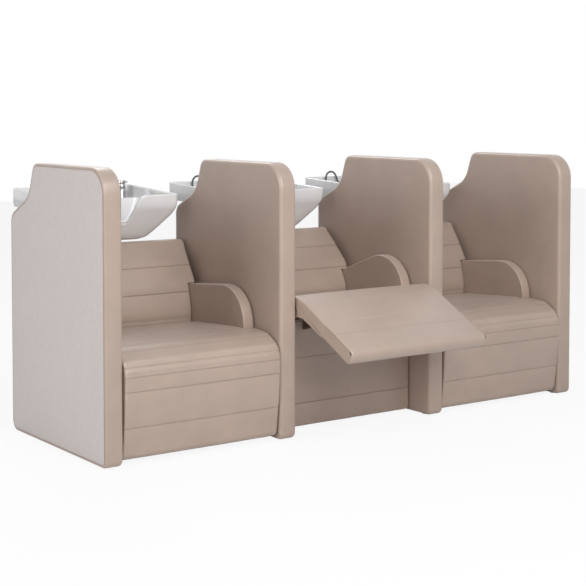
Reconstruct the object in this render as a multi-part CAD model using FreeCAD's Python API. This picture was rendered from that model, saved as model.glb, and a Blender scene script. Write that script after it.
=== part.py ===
"""Row of three hair washing beds between padded panels, each with a sliding, tilting seat and a ceramic basin.

Millimetres, +Z up. X runs along the row, Y goes from the footrests to the basins.
The pieces are drawn with X = 0 at the left panel's outer face, Y = 0 at the panels' front edge and Z = 0 on
the floor, and the whole row is moved at the end so that the origin is below the middle of its box.
Beds 1 and 3 lie flat with the footrest hanging, and bed 2 is drawn in its raised position.
"""
import FreeCAD, Part
import math
import os

V = FreeCAD.Vector

# Row
BEDS = 3
PITCH = 810.0
PANEL_T = 80.0
PANEL_H = 1150.0
PANEL_D = 847.0
BAY = PITCH - PANEL_T
GLIDE_H = 5.0
GLIDE_R = 18.0
GLIDE_TOP_R = 21.0
GLIDE_SHARES = (0.08, 0.5, 0.92)
SIDE_GAP = 5.0
SOFT_GAP = 0.5
OVERRUN = 60.0
PLANE_TOL = 0.05

# Panel outline
PANEL_STEP_TOP_Y = 622.0
PANEL_STEP_Y = 672.0
PANEL_STEP_DROP = 141.0
PANEL_STEP_Z = PANEL_H - PANEL_STEP_DROP
PANEL_SHOULDER_DROP = 83.0
PANEL_SHOULDER_Z = PANEL_STEP_Z - PANEL_SHOULDER_DROP
PANEL_FRONT_TOP_R = 108.0
PANEL_REAR_TOP_R = 45.0
PANEL_STEP_R = 120.0
PANEL_SHOULDER_R = 55.0
PANEL_REAR_FOOT_R = 45.0
PANEL_FRONT_FOOT_R = 26.0
PANEL_EDGE_R = 20.0
FABRIC_T = 10.0
FABRIC_EDGE_R = 7.0

# Travel
SLIDE = 110.0
SEAT_TILT = 15.0
FOOT_LIFT = 55.0
BACK_TILT = 15.0
RAISED_BED = 1

# Base
BASE_Z = 14.0
FASCIA_Y = 138.0
FASCIA_T = 30.0
FASCIA_TOP_Z = 311.0
FASCIA_GAP = 3.0
FASCIA_EDGE_R = 10.0
FASCIA_SEAM_Z = 112.0
COVER_T = 16.0
COVER_REAR_Y = 845.0
COVER_TOP_Z = 700.0
CROSS_W = 30.0
CROSS_H = 40.0
CROSS_Z = 205.0
TUBE_WALL = 2.5
RAIL_W = 25.0
RAIL_H = 40.0
RAIL_WALL = 3.0
RAIL_Z = CROSS_Z + CROSS_H

# Slide and lift
RUN_GAP = 0.3
PIN_R = 8.0
PIN_FIT = 0.05
TILT_PIN_Y = 680.0
TILT_PIN_Z = 325.6
PLATE_T = 6.0
PLATE_FRONT_Y = 400.0
PLATE_REAR_Y = 700.0
PLATE_Z = 262.0
BLOCK_L = 60.0
BLOCK_INSET = 20.0
LUG_T = 8.0
LUG_X = 200.0
LUG_R = 15.0
LUG_FOOT = 22.0
STOP_W = 20.0
ACT_Z = 225.0
ACT_TUBE_R = 18.0
ACT_TUBE_FRONT_Y = 460.0
ACT_ROD_R = 9.0
ACT_ROD_L = 240.0
ACT_LUG_T = 12.0
ACT_LUG_W = 40.0
ACT_BOX_W = 60.0
ACT_BOX_FRONT_Y = 702.0
ACT_BOX_LOW_Z = 160.0
ACT_BOX_TOP_Z = 255.0
MOTOR_R = 26.0
MOTOR_L = 130.0
MOTOR_DROP = 50.0

# Seat
SEAT_REAR_Y = 586.0
SEAT_LOW_Z = 352.0
SEAT_REAR_Z = 436.0
SEAT_CROWN_Z = 457.0
SEAT_CROWN_Y = 230.0
SEAT_KNEE_Y = 78.0
SEAT_KNEE_Z = 447.0
SEAT_LIP_Y = 12.0
SEAT_LIP_Z = 407.0
SEAT_SIDE_DROP = 7.0
SEAT_FALL = 2.0
SEAT_LOW_R = 6.0
SEAT_REAR_R = 14.0
SEAT_CROWN_R = 500.0
SEAT_KNEE_R = 90.0
SEAT_LIP_R = 24.0
CHANNEL_W = 7.0
CHANNEL_DEPTH = 3.5
PAN_T = 3.0
PAN_FRONT_Y = 68.0
BOARD_SIDE = 20.0
RAIL2_W = 24.0
RAIL2_H = 35.0
RAIL2_FRONT_Y = 64.0
RAIL2_TAIL = 20.0

# Footrest
FOOT_PIN_Y = 22.0
FOOT_PIN_Z = 357.0
FOOT_R = 31.0
FOOT_NOSE_Y = 49.0
FOOT_NOSE_Z = 51.0
FOOT_CROWN = 3.0
FOOT_SIDE_DROP = 5.0
FOOT_GAP = 1.5
LIP_ANGLE = 57.0
LIP_T = 2.5
BARREL_R = 13.0
FOOT_PLATE_L = 240.0
FOOT_PLATE_T = 6.0
FOOT_SIDE = 30.0
FOOT_LUG_X = 238.0
FOOT_LUG_R = 14.0
LUG_NECK_SHARE = 0.8
FOOT_LUG_GAP = 2.0
FOOT_SLOT_DROP = 38.0
FOOT_SEAMS_Z = (348.0, 291.0, 150.0)

# Armrests
ARM_W = 57.0
ARM_REAR_Y = 637.0
ARM_REAR_TOP_Z = 597.0
ARM_TOP_Z = 637.0
ARM_FRONT_Y = 181.0
ARM_LOW_Z = 428.0
ARM_INNER_R = 5.0
ARM_OUTER_R = 17.0
ARM_LOW_R = 3.0
ARM_REAR_R = 22.0
ARM_FRONT_R = 160.0
TONGUE_W = 38.0
TONGUE_FRONT_Y = 250.0
TONGUE_REAR_Y = 570.0

# Back
BACK_PIVOT_Y = 819.8
BACK_PIVOT_Z = 763.5
BACK_LEAN = 19.7
BACK_BOARD_L = 384.0
BACK_BOARD_T = 15.0
KNUCKLE_R = 15.0
KNUCKLE_W = 40.0
KNUCKLE_X = 250.0
KNUCKLE_RISE = 14.0
BAR_R = 10.0
BAR_PLATE_T = 4.0
BAR_PLATE_W = 28.0
BACK_TOP_Z = 780.0
BACK_TOP_Y = 752.0
BACK_HEAD_Y = 678.0
BACK_HEAD_Z = 699.0
BACK_LUMBAR_Y = 619.0
BACK_LUMBAR_Z = 597.0
BACK_HOLLOW_Y = 588.5
BACK_HOLLOW_Z = 475.0
BACK_LOW_Y = 606.0
BACK_LOW_Z = 385.0
BACK_SIDE_DROP = 23.0
BACK_FALL = 7.0
BACK_TOP_SHARE = 0.35
BACK_LOW_R = 5.0
BACK_TOP_R = 26.0
BACK_HEAD_R = 160.0
BACK_LUMBAR_R = 90.0
BACK_HOLLOW_R = 200.0
BACK_NOTCH_TOP_Z = 601.0
BACK_NOTCH_GAP = 4.0
BACK_HEAD_SEAMS_Z = (677.0,)
BACK_LUMBAR_SEAMS_Z = (565.0,)

# Basin
BASIN_W = 590.0
BASIN_FRONT_Y = 686.0
BASIN_D = 484.0
BASIN_REAR_Y = BASIN_FRONT_Y + BASIN_D
BASIN_TOP_Z = 1012.0
BASIN_FRONT_Z = 994.0
BASIN_WALL = 18.0
BASIN_CORNER_R = 24.0
DECK_LOW_Z = 929.0
DECK_Z = 962.0
DECK_D = 134.0
DECK_FRONT_Y = BASIN_REAR_Y - DECK_D
BOWL_D = DECK_FRONT_Y + BASIN_WALL - BASIN_FRONT_Y
BOWL_LOW_Z = 790.0
BOWL_FLOOR_Z = 808.0
NECK_HALF = 96.0
NECK_LOW_Z = 880.0
NECK_DEPTH = 90.0
DRAIN_SHARE = 0.568
DRAIN_Y = BASIN_FRONT_Y + DRAIN_SHARE * BOWL_D
DRAIN_R = 24.0
TAIL_R = 20.0
TAIL_LOW_Z = 720.0
TAIL_WALL = 2.0
FLANGE_R = 33.0
FLANGE_H = 3.0
NUT_R = 31.0
NUT_H = 14.0
HOLE_R = 2.5
HOLE_RING_SHARES = ((0.0, 1), (0.55, 6))

# Basin stand
PIVOT_INSET = 85.0
BASIN_PIVOT_Y = BASIN_REAR_Y - PIVOT_INSET
BASIN_PIVOT_Z = 895.0
STAND_D = 60.0
STAND_Y = BASIN_PIVOT_Y - STAND_D / 2
STAND_W = 80.0
STAND_TOP_Z = 862.0
STAND_WALL = 3.0
FOOT_PLATE_W = 300.0
FOOT_PLATE_D = 160.0
FOOT_PLATE_H = 5.0
TIE_W = 50.0
TIE_H = 26.0
TIE_Z = 212.0
TIE_GAP = 3.0
CRADLE_T = 6.0
CRADLE_SIDE = 95.0
CRADLE_W = BASIN_W - 2 * CRADLE_SIDE
CRADLE_REACH = 35.0
CRADLE_FRONT_Y = BASIN_PIVOT_Y - CRADLE_REACH
CRADLE_INSET = 12.0
CRADLE_REAR_Y = BASIN_REAR_Y - CRADLE_INSET
YOKE_X = 25.0
CRADLE_LUG_X = 33.3
CRADLE_LUG_R = 18.0

# Taps
MIXER_INSET = 65.0
MIXER_X = BASIN_W / 2 - BASIN_WALL - MIXER_INSET
MIXER_SETBACK = 40.0
MIXER_Y = DECK_FRONT_Y + MIXER_SETBACK
MIXER_R = 20.0
MIXER_BASE_R = 23.0
MIXER_BASE_H = 7.0
MIXER_H = 62.0
CAP_H = 18.0
CAP_R = 20.5
LEVER_L = 62.0
LEVER_W = 12.0
LEVER_T = 7.0
LEVER_TIP_SHARE = 0.45
FERRULE_R = 11.0
FERRULE_NUT_R = 8.0
HOSE_R = 4.5
HOSE_MIN_R = 6 * HOSE_R
TURN_SHARE = 0.45
HANDSET_TAIL_R = 9.0
HANDSET_GRIP_R = 11.5
HANDSET_NECK_R = 10.0
HANDSET_HEAD_R = 20.0
HANDSET_L = 158.0
HANDSET_SIDE = 35.0
HANDSET_TAIL_X = BASIN_W / 2 - BASIN_WALL - HANDSET_SIDE - HANDSET_L
HANDSET_INSET = 30.0
HANDSET_Y = BASIN_REAR_Y - BASIN_WALL - HANDSET_INSET
HANDSET_REST = 1.2

BAY_HALF = BAY / 2
SOFT_HALF = BAY_HALF - SIDE_GAP

# Where the cushions' cross-sections stand, from side to side, as shares of half their width
STATION_SHARES = (-1.0, -0.975, -0.9, -0.7, -0.35, 0.0, 0.35, 0.7, 0.9, 0.975, 1.0)
SIDE_POWER = 12

# The bowl's outside from the rim down, as shares: height, half width, front, rear, corner radius
BOWL_SHARES = (
    (1.0, 1.0, 0.0, 1.0, 1.0), (0.72, 1.0, 0.005, 0.997, 1.17), (0.63, 0.99, 0.024, 0.989, 1.38),
    (0.495, 0.957, 0.073, 0.97, 1.67), (0.32, 0.858, 0.139, 0.943, 1.92), (0.158, 0.76, 0.212, 0.9, 2.0),
    (0.059, 0.69, 0.266, 0.856, 1.92), (0.0, 0.61, 0.31, 0.815, 1.83),
)

# Shower hose: from the ferrule over an arch and along the deck to the hand shower, X from the bed's middle
HOSE_ROUTE = (
    (-172, 1140, 974), (-172, 1140, 1000), (-171, 1141, 1026), (-153, 1141, 1044), (-128, 1140, 1044),
    (-110, 1138, 1026), (-103, 1135, 996), (-83, 1131, 973), (-51, 1126, 967.5), (-17, 1120, 967),
    (19, 1119, 967), (54, HANDSET_Y, 972.25), (HANDSET_TAIL_X, HANDSET_Y, 974),
)


def rounded(points, place):
    """A closed wire through (a, b, radius) corners, each rounded with a tangent arc and put in space by place."""
    count = len(points)
    spans = []
    for i in range(count):
        before, here, after = points[i - 1], points[i], points[(i + 1) % count]
        into = V(before[0] - here[0], before[1] - here[1], 0).normalize()
        out = V(after[0] - here[0], after[1] - here[1], 0).normalize()
        corner = V(here[0], here[1], 0)
        if here[2] == 0:
            spans.append((corner, None, corner))
            continue
        half = into.getAngle(out) / 2
        reach = here[2] / math.tan(half)
        middle = corner + (into + out).normalize() * (here[2] / math.sin(half) - here[2])
        spans.append((corner + into * reach, middle, corner + out * reach))
    edges = []
    for i in range(count):
        start, middle, end = spans[i]
        if middle is not None:
            edges.append(Part.Arc(place(start), place(middle), place(end)).toShape())
        following = spans[(i + 1) % count][0]
        edges.append(Part.LineSegment(place(end), place(following)).toShape())
    return Part.Wire(edges)


def side_wire(points, x):
    """A rounded outline in the YZ plane at x."""
    return rounded(points, lambda p: V(x, p.x, p.y))


def level_wire(x_half, y_low, y_high, radius, z):
    """A rounded rectangle at height z, centred on the bed."""
    corners = ((-x_half, y_low, radius), (x_half, y_low, radius),
               (x_half, y_high, radius), (-x_half, y_high, radius))
    return rounded(corners, lambda p: V(p.x, p.y, z))


def slab(points, x_low, x_high):
    """A rounded YZ outline made solid between two values of X."""
    return Part.Face(side_wire(points, x_low)).extrude(V(x_high - x_low, 0, 0))


def block(x_low, x_high, y_low, y_high, z_low, z_high):
    return Part.makeBox(x_high - x_low, y_high - y_low, z_high - z_low, V(x_low, y_low, z_low))


def rod(x_low, x_high, radius, y, z):
    """A round bar along X."""
    return Part.makeCylinder(radius, x_high - x_low, V(x_low, y, z), V(1, 0, 0))


def both_sides(shape):
    """The shape and its mirror image across the bed's middle."""
    return [shape, shape.mirror(V(0, 0, 0), V(1, 0, 0))]


def join(shapes):
    return shapes[0].fuse(shapes[1:]).removeSplitter()


def with_channels(points, index, heights):
    """Sews a channel into the side of an outline that starts at a corner, at each of the heights."""
    start, end = points[index], points[(index + 1) % len(points)]
    run = V(end[0] - start[0], end[1] - start[1], 0)
    length = run.Length
    run.normalize()
    inward = V(-run.y, run.x, 0)
    sewn = list(points[:index + 1])
    for height in sorted(heights, key=lambda z: abs(z - start[1])):
        along = (height - start[1]) / (end[1] - start[1]) * length
        for shift, depth in ((-CHANNEL_W / 2, 0), (0, CHANNEL_DEPTH), (CHANNEL_W / 2, 0)):
            spot = V(start[0], start[1], 0) + run * (along + shift) + inward * depth
            sewn.append((spot.x, spot.y, 0))
    return sewn + list(points[index + 1:])


def cushion_loft(section):
    """A solid through a cushion's outlines from side to side: full in the middle, drawn in at the sides."""
    wires = []
    for share in STATION_SHARES:
        pull = abs(share) ** SIDE_POWER
        wires.append(section(pull, share ** 2, share * SOFT_HALF))
    return Part.makeLoft(wires, True, True)


def turn(y, z, degrees):
    """The placement that turns a piece about a bar along X, its front going up."""
    return FreeCAD.Placement(V(0, 0, 0), FreeCAD.Rotation(V(-1, 0, 0), degrees), V(0, y, z))


SEAT_MOVE = FreeCAD.Placement(V(0, -SLIDE, 0), FreeCAD.Rotation()) * turn(TILT_PIN_Y, TILT_PIN_Z, SEAT_TILT)
MOVES = {
    "carriage": FreeCAD.Placement(V(0, -SLIDE, 0), FreeCAD.Rotation()),
    "seat": SEAT_MOVE,
    "footrest": SEAT_MOVE * turn(FOOT_PIN_Y, FOOT_PIN_Z, FOOT_LIFT),
    "back": turn(BACK_PIVOT_Y, BACK_PIVOT_Z, BACK_TILT),
    "basin": FreeCAD.Placement(),
}


# Panels and base

def panel_outline(inset):
    """The panel's side outline: high at the front, stepped down behind the headrest."""
    low = GLIDE_H + inset
    high = PANEL_H - inset
    deep = PANEL_D - inset
    return (
        (inset, low, PANEL_FRONT_FOOT_R - inset), (deep, low, PANEL_REAR_FOOT_R - inset),
        (deep, PANEL_SHOULDER_Z - inset / 2, PANEL_SHOULDER_R - inset),
        (PANEL_STEP_Y - inset, PANEL_STEP_Z - inset, PANEL_STEP_R + inset),
        (PANEL_STEP_TOP_Y - inset, high, PANEL_REAR_TOP_R - inset), (inset, high, PANEL_FRONT_TOP_R - inset),
    )


def edges_at(shape, x):
    """The edges of a shape that lie in the plane at x."""
    return [e for e in shape.Edges if abs(e.BoundBox.XMin - x) + abs(e.BoundBox.XMax - x) < PLANE_TOL]


def panel(x_low, x_high, rounded_faces):
    """An upholstered board between x_low and x_high, with soft edges round the faces named."""
    body = slab(panel_outline(0), x_low, x_high)
    for x in rounded_faces:
        body = body.makeFillet(PANEL_EDGE_R, edges_at(body, x))
    return body


def end_fabric(x_outer, x_inner):
    """The padded cloth side of an end panel."""
    low, high = min(x_outer, x_inner), max(x_outer, x_inner)
    skin = slab(panel_outline(0), low, high)
    return skin.makeFillet(FABRIC_EDGE_R, edges_at(skin, x_outer))


def floor_glides():
    glides = []
    for i in range(BEDS + 1):
        for share in GLIDE_SHARES:
            centre = V(i * PITCH + PANEL_T / 2, share * PANEL_D, 0)
            glides.append(Part.makeCone(GLIDE_R, GLIDE_TOP_R, GLIDE_H, centre))
    return glides


def base_fascia():
    """The padded front of the base, with one sewn channel."""
    half = BAY_HALF - FASCIA_GAP
    front, rear = FASCIA_Y, FASCIA_Y + FASCIA_T
    outline = ((front, BASE_Z, 0), (rear, BASE_Z, 0), (rear, FASCIA_TOP_Z, 0),
               (front, FASCIA_TOP_Z, FASCIA_EDGE_R))
    body = slab(outline, -half, half)
    upright = [e for e in body.Edges
               if e.BoundBox.YMax < front + PLANE_TOL and e.BoundBox.ZLength > FASCIA_TOP_Z / 2]
    body = body.makeFillet(FASCIA_EDGE_R, upright)
    groove = slab(((front - CHANNEL_DEPTH, FASCIA_SEAM_Z - CHANNEL_W, 0), (front + CHANNEL_DEPTH, FASCIA_SEAM_Z, 0),
                   (front - CHANNEL_DEPTH, FASCIA_SEAM_Z + CHANNEL_W, 0)), -BAY_HALF, BAY_HALF)
    return body.cut(groove)


def rear_cover():
    """The back board of the base, with a slot for the basin stand's tie bar."""
    half = BAY_HALF - FASCIA_GAP
    front = COVER_REAR_Y - COVER_T
    board = block(-half, half, front, COVER_REAR_Y, BASE_Z, COVER_TOP_Z)
    slot = block(-TIE_W / 2 - TIE_GAP, TIE_W / 2 + TIE_GAP, front - OVERRUN, COVER_REAR_Y + OVERRUN,
                 TIE_Z - TIE_GAP, TIE_Z + TIE_H + TIE_GAP)
    return board.cut(slot)


def cross_tube(y_low):
    """A square tube from panel to panel."""
    tube = block(-BAY_HALF, BAY_HALF, y_low, y_low + CROSS_W, CROSS_Z, CROSS_Z + CROSS_H)
    bore = block(-BAY_HALF - OVERRUN, BAY_HALF + OVERRUN, y_low + TUBE_WALL, y_low + CROSS_W - TUBE_WALL,
                 CROSS_Z + TUBE_WALL, CROSS_Z + CROSS_H - TUBE_WALL)
    return tube.cut(bore)


def runner_rail():
    """The right-hand channel that the carriage blocks run in, open towards the bed's middle."""
    front, rear = FASCIA_Y + FASCIA_T, COVER_REAR_Y - COVER_T
    bar = block(BAY_HALF - RAIL_W, BAY_HALF, front, rear, RAIL_Z, RAIL_Z + RAIL_H)
    groove = block(BAY_HALF - RAIL_W - OVERRUN, BAY_HALF - RAIL_WALL, front - OVERRUN, rear + OVERRUN,
                   RAIL_Z + RAIL_WALL, RAIL_Z + RAIL_H - RAIL_WALL)
    return bar.cut(groove)


def base_frame():
    front, rear = FASCIA_Y + FASCIA_T, COVER_REAR_Y - COVER_T - CROSS_W
    return [cross_tube(front), cross_tube(rear)] + both_sides(runner_rail())


def actuator():
    """The electric ram: gearbox on the rear cross tube, motor below, and the outer tube of the rod."""
    rear = COVER_REAR_Y - COVER_T - CROSS_W
    box = block(-ACT_BOX_W / 2, ACT_BOX_W / 2, ACT_BOX_FRONT_Y, rear, ACT_BOX_LOW_Z, ACT_BOX_TOP_Z)
    upright = [e for e in box.Edges if e.BoundBox.ZLength > ACT_BOX_W]
    box = box.makeFillet(ACT_ROD_R, upright)
    reach = ACT_BOX_FRONT_Y - ACT_TUBE_FRONT_Y
    tube = Part.makeCylinder(ACT_TUBE_R, reach, V(0, ACT_TUBE_FRONT_Y, ACT_Z), V(0, 1, 0))
    motor = Part.makeCylinder(MOTOR_R, MOTOR_L, V(0, ACT_BOX_FRONT_Y - MOTOR_L, ACT_Z - MOTOR_DROP), V(0, 1, 0))
    mouth = V(0, ACT_TUBE_FRONT_Y - OVERRUN, ACT_Z)
    bore = Part.makeCylinder(ACT_ROD_R + PIN_FIT, reach + OVERRUN, mouth, V(0, 1, 0))
    return join([box, tube, motor]).cut(bore)


def back_hinge_bar():
    """The fixed bar that the back hangs on, with a plate at each panel."""
    bar = rod(-BAY_HALF, BAY_HALF, BAR_R, BACK_PIVOT_Y, BACK_PIVOT_Z)
    half = BAR_PLATE_W / 2
    plate_y = min(BACK_PIVOT_Y, PANEL_D - PANEL_EDGE_R - half)
    plate = block(BAY_HALF - BAR_PLATE_T, BAY_HALF, plate_y - half, plate_y + half,
                  BACK_PIVOT_Z - half, BACK_PIVOT_Z + half)
    return join([bar] + both_sides(plate))


def basin_stand():
    """The steel column behind the bed, tied to the rear cross tube, with a yoke and pin for the cradle."""
    half = STAND_W / 2
    column = block(-half, half, STAND_Y, STAND_Y + STAND_D, FOOT_PLATE_H, STAND_TOP_Z)
    hollow = block(-half + STAND_WALL, half - STAND_WALL, STAND_Y + STAND_WALL, STAND_Y + STAND_D - STAND_WALL,
                   FOOT_PLATE_H + STAND_WALL, STAND_TOP_Z - STAND_WALL)
    middle = STAND_Y + STAND_D / 2
    foot = block(-FOOT_PLATE_W / 2, FOOT_PLATE_W / 2, middle - FOOT_PLATE_D / 2, middle + FOOT_PLATE_D / 2,
                 0, FOOT_PLATE_H)
    tie = block(-TIE_W / 2, TIE_W / 2, COVER_REAR_Y - COVER_T, STAND_Y, TIE_Z, TIE_Z + TIE_H)
    tie_bore = block(-TIE_W / 2 + STAND_WALL, TIE_W / 2 - STAND_WALL, COVER_REAR_Y - COVER_T, STAND_Y,
                     TIE_Z + STAND_WALL, TIE_Z + TIE_H - STAND_WALL)
    ear = slab(((BASIN_PIVOT_Y - CRADLE_LUG_R, STAND_TOP_Z, 0), (BASIN_PIVOT_Y + CRADLE_LUG_R, STAND_TOP_Z, 0),
                (BASIN_PIVOT_Y + CRADLE_LUG_R, BASIN_PIVOT_Z + LUG_R, LUG_R - RUN_GAP),
                (BASIN_PIVOT_Y - CRADLE_LUG_R, BASIN_PIVOT_Z + LUG_R, LUG_R - RUN_GAP)), YOKE_X, YOKE_X + LUG_T)
    pin_half = CRADLE_LUG_X + LUG_T + RUN_GAP
    pin = rod(-pin_half, pin_half, PIN_R, BASIN_PIVOT_Y, BASIN_PIVOT_Z)
    return join([column.cut(hollow), foot, tie.cut(tie_bore), pin] + both_sides(ear))


# Carriage, seat and armrests

def carriage():
    """The slide plate with its runner blocks, the tilt pin in two ears, seat stops and the ram's rod."""
    inner = BAY_HALF - RAIL_W - BLOCK_INSET / 2
    plate = block(-inner, inner, PLATE_FRONT_Y, PLATE_REAR_Y, PLATE_Z, PLATE_Z + PLATE_T)
    pieces = [plate]
    low, high = RAIL_Z + RAIL_WALL + RUN_GAP, RAIL_Z + RAIL_H - RAIL_WALL - RUN_GAP
    for y in (PLATE_FRONT_Y + BLOCK_INSET, PLATE_REAR_Y - BLOCK_L):
        pieces += both_sides(block(inner, BAY_HALF - RAIL_WALL - RUN_GAP, y, y + BLOCK_L, low, high))
    ear = slab(((TILT_PIN_Y - LUG_FOOT, PLATE_Z, 0), (TILT_PIN_Y + LUG_R, PLATE_Z, 0),
                (TILT_PIN_Y + LUG_R, TILT_PIN_Z + LUG_R, LUG_R - RUN_GAP),
                (TILT_PIN_Y - LUG_R, TILT_PIN_Z + LUG_R, LUG_R - RUN_GAP)), LUG_X, LUG_X + LUG_T)
    stop = block(LUG_X + LUG_T, LUG_X + LUG_T + STOP_W, PLATE_FRONT_Y, PLATE_FRONT_Y + STOP_W,
                 PLATE_Z, seat_rail_low() - RUN_GAP)
    pin_half = LUG_X + LUG_T + RUN_GAP + RAIL2_W
    pieces += both_sides(ear) + both_sides(stop) + [rod(-pin_half, pin_half, PIN_R, TILT_PIN_Y, TILT_PIN_Z)]
    pieces.append(block(-ACT_LUG_W / 2, ACT_LUG_W / 2, PLATE_FRONT_Y, PLATE_FRONT_Y + ACT_LUG_T,
                        ACT_Z - ACT_ROD_R - ACT_LUG_T, PLATE_Z))
    pieces.append(Part.makeCylinder(ACT_ROD_R, ACT_ROD_L, V(0, PLATE_FRONT_Y, ACT_Z), V(0, 1, 0)))
    return join(pieces)


def seat_rail_low():
    return SEAT_LOW_Z - PAN_T - RAIL2_H


def seat_rail():
    """A side bar of the seat frame: pivot eye at the rear, footrest lug at the front."""
    inner = LUG_X + LUG_T + RUN_GAP
    low = seat_rail_low()
    bar = block(inner, inner + RAIL2_W, RAIL2_FRONT_Y, TILT_PIN_Y + RAIL2_TAIL, low, low + RAIL2_H)
    eye = rod(inner - OVERRUN, inner + OVERRUN, PIN_R + PIN_FIT, TILT_PIN_Y, TILT_PIN_Z)
    ring = rod(FOOT_LUG_X, FOOT_LUG_X + LUG_T, FOOT_LUG_R, FOOT_PIN_Y, FOOT_PIN_Z)
    top = low + RAIL2_H
    neck = FOOT_LUG_R * LUG_NECK_SHARE
    arm = slab(((FOOT_PIN_Y - FOOT_LUG_R / 2, FOOT_PIN_Z - neck, 0), (RAIL2_FRONT_Y, top - RAIL2_H / 2, 0),
                (RAIL2_FRONT_Y + RAIL2_H, top - RAIL2_H / 2, 0), (RAIL2_FRONT_Y + RAIL2_H, top, 0),
                (RAIL2_FRONT_Y, top, 0), (FOOT_PIN_Y + FOOT_LUG_R / 2, FOOT_PIN_Z + neck, 0)),
               FOOT_LUG_X, FOOT_LUG_X + LUG_T)
    web = block(inner + RAIL2_W, FOOT_LUG_X + LUG_T, RAIL2_FRONT_Y, RAIL2_FRONT_Y + RAIL2_H, low, top)
    return join([bar.cut(eye), ring, arm, web])


def seat_frame():
    """Two side bars with the footrest's hinge rod, and the sheet steel seat pan lying on them."""
    half = FOOT_LUG_X + LUG_T + FOOT_SIDE
    hinge_rod = rod(-half, half, PIN_R, FOOT_PIN_Y, FOOT_PIN_Z)
    steel = join(both_sides(seat_rail()) + [hinge_rod])
    side = SOFT_HALF - BOARD_SIDE
    pan = block(-side, side, PAN_FRONT_Y, SEAT_REAR_Y, SEAT_LOW_Z - PAN_T, SEAT_LOW_Z)
    return [steel, pan]


def seat_section(pull, fall, x):
    """The seat cushion's outline, its crown lowered towards the sides."""
    drop = pull * SEAT_SIDE_DROP + fall * SEAT_FALL
    lip = math.radians(LIP_ANGLE)
    inner = FOOT_R + FOOT_GAP
    reach = inner + LIP_T
    points = (
        (SEAT_REAR_Y, SEAT_LOW_Z, SEAT_LOW_R), (SEAT_REAR_Y, SEAT_REAR_Z - drop / 3, SEAT_REAR_R),
        (SEAT_CROWN_Y, SEAT_CROWN_Z - drop, SEAT_CROWN_R), (SEAT_KNEE_Y, SEAT_KNEE_Z - drop, SEAT_KNEE_R),
        (SEAT_LIP_Y, SEAT_LIP_Z - drop / 2, SEAT_LIP_R),
        (FOOT_PIN_Y - reach * math.cos(lip), FOOT_PIN_Z + reach * math.sin(lip), 0),
        (FOOT_PIN_Y, FOOT_PIN_Z, 0), (FOOT_PIN_Y + inner, SEAT_LOW_Z, 0),
    )
    return side_wire(points, x)


def seat_cushion():
    """The crowned seat, hollowed round the footrest's hinge and let in for the armrests."""
    cushion = cushion_loft(seat_section)
    cushion = cushion.cut(rod(-BAY_HALF, BAY_HALF, FOOT_R + FOOT_GAP, FOOT_PIN_Y, FOOT_PIN_Z))
    ledge = block(SOFT_HALF - ARM_W - SOFT_GAP, BAY_HALF, ARM_FRONT_Y - SOFT_GAP, ARM_REAR_Y + OVERRUN,
                  ARM_LOW_Z - SOFT_GAP, ARM_TOP_Z)
    slot = block(SOFT_HALF - TONGUE_W - SOFT_GAP, BAY_HALF, TONGUE_FRONT_Y - SOFT_GAP, TONGUE_REAR_Y + SOFT_GAP,
                 SEAT_LOW_Z - OVERRUN, ARM_LOW_Z)
    lug_room = block(FOOT_LUG_X - SOFT_GAP, FOOT_LUG_X + LUG_T + SOFT_GAP, FOOT_PIN_Y, RAIL2_FRONT_Y,
                     SEAT_LOW_Z - OVERRUN, SEAT_LOW_Z + PAN_T)
    return cushion.cut(both_sides(ledge) + both_sides(slot) + both_sides(lug_room))


def armrest():
    """The right armrest: a padded board with round edges, and the tongue that stands on the seat pan."""
    outline = (
        (ARM_FRONT_Y, ARM_LOW_Z, ARM_LOW_R), (ARM_REAR_Y, ARM_LOW_Z, ARM_LOW_R),
        (ARM_REAR_Y, ARM_REAR_TOP_Z, ARM_REAR_R), (ARM_FRONT_Y, ARM_TOP_Z, ARM_FRONT_R),
    )
    inner = SOFT_HALF - ARM_W
    body = slab(outline, inner, SOFT_HALF)
    for x, radius in ((inner, ARM_INNER_R), (SOFT_HALF, ARM_OUTER_R)):
        rim = [e for e in edges_at(body, x) if e.BoundBox.ZMax > ARM_LOW_Z + ARM_OUTER_R]
        body = body.makeFillet(radius, rim)
    tongue = block(SOFT_HALF - TONGUE_W, SOFT_HALF - ARM_OUTER_R, TONGUE_FRONT_Y, TONGUE_REAR_Y,
                   SEAT_LOW_Z, ARM_LOW_Z)
    return join([body, tongue])


# Footrest

def foot_direction():
    """Unit vectors down the hanging footrest and out of its front."""
    down = V(0, FOOT_NOSE_Y - FOOT_PIN_Y, FOOT_NOSE_Z - FOOT_PIN_Z)
    length = down.Length
    down.normalize()
    return down, V(0, down.z, -down.y), length


def foot_section(pull, fall, x):
    """The pad's outline: round at both ends, channels across its crowned front, thinner at the sides."""
    down, front, length = foot_direction()
    half = FOOT_R - pull * FOOT_SIDE_DROP
    round_r = half - FOOT_GAP / 3
    points = [(-half, -half, round_r), (length + half, -half, round_r), (length + half, half, round_r)]
    for height in sorted(FOOT_SEAMS_Z):
        along = (FOOT_PIN_Z - height) / -down.z
        face = half if height == max(FOOT_SEAMS_Z) else half + (1 - fall) * FOOT_CROWN
        for shift, depth in ((CHANNEL_W / 2, 0), (0, CHANNEL_DEPTH), (-CHANNEL_W / 2, 0)):
            points.append((along + shift, face - depth, 0))
    points.append((-half, half, round_r))
    pivot = V(x, FOOT_PIN_Y, FOOT_PIN_Z)
    return rounded(points, lambda p: pivot + down * p.x + front * p.y)


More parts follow.
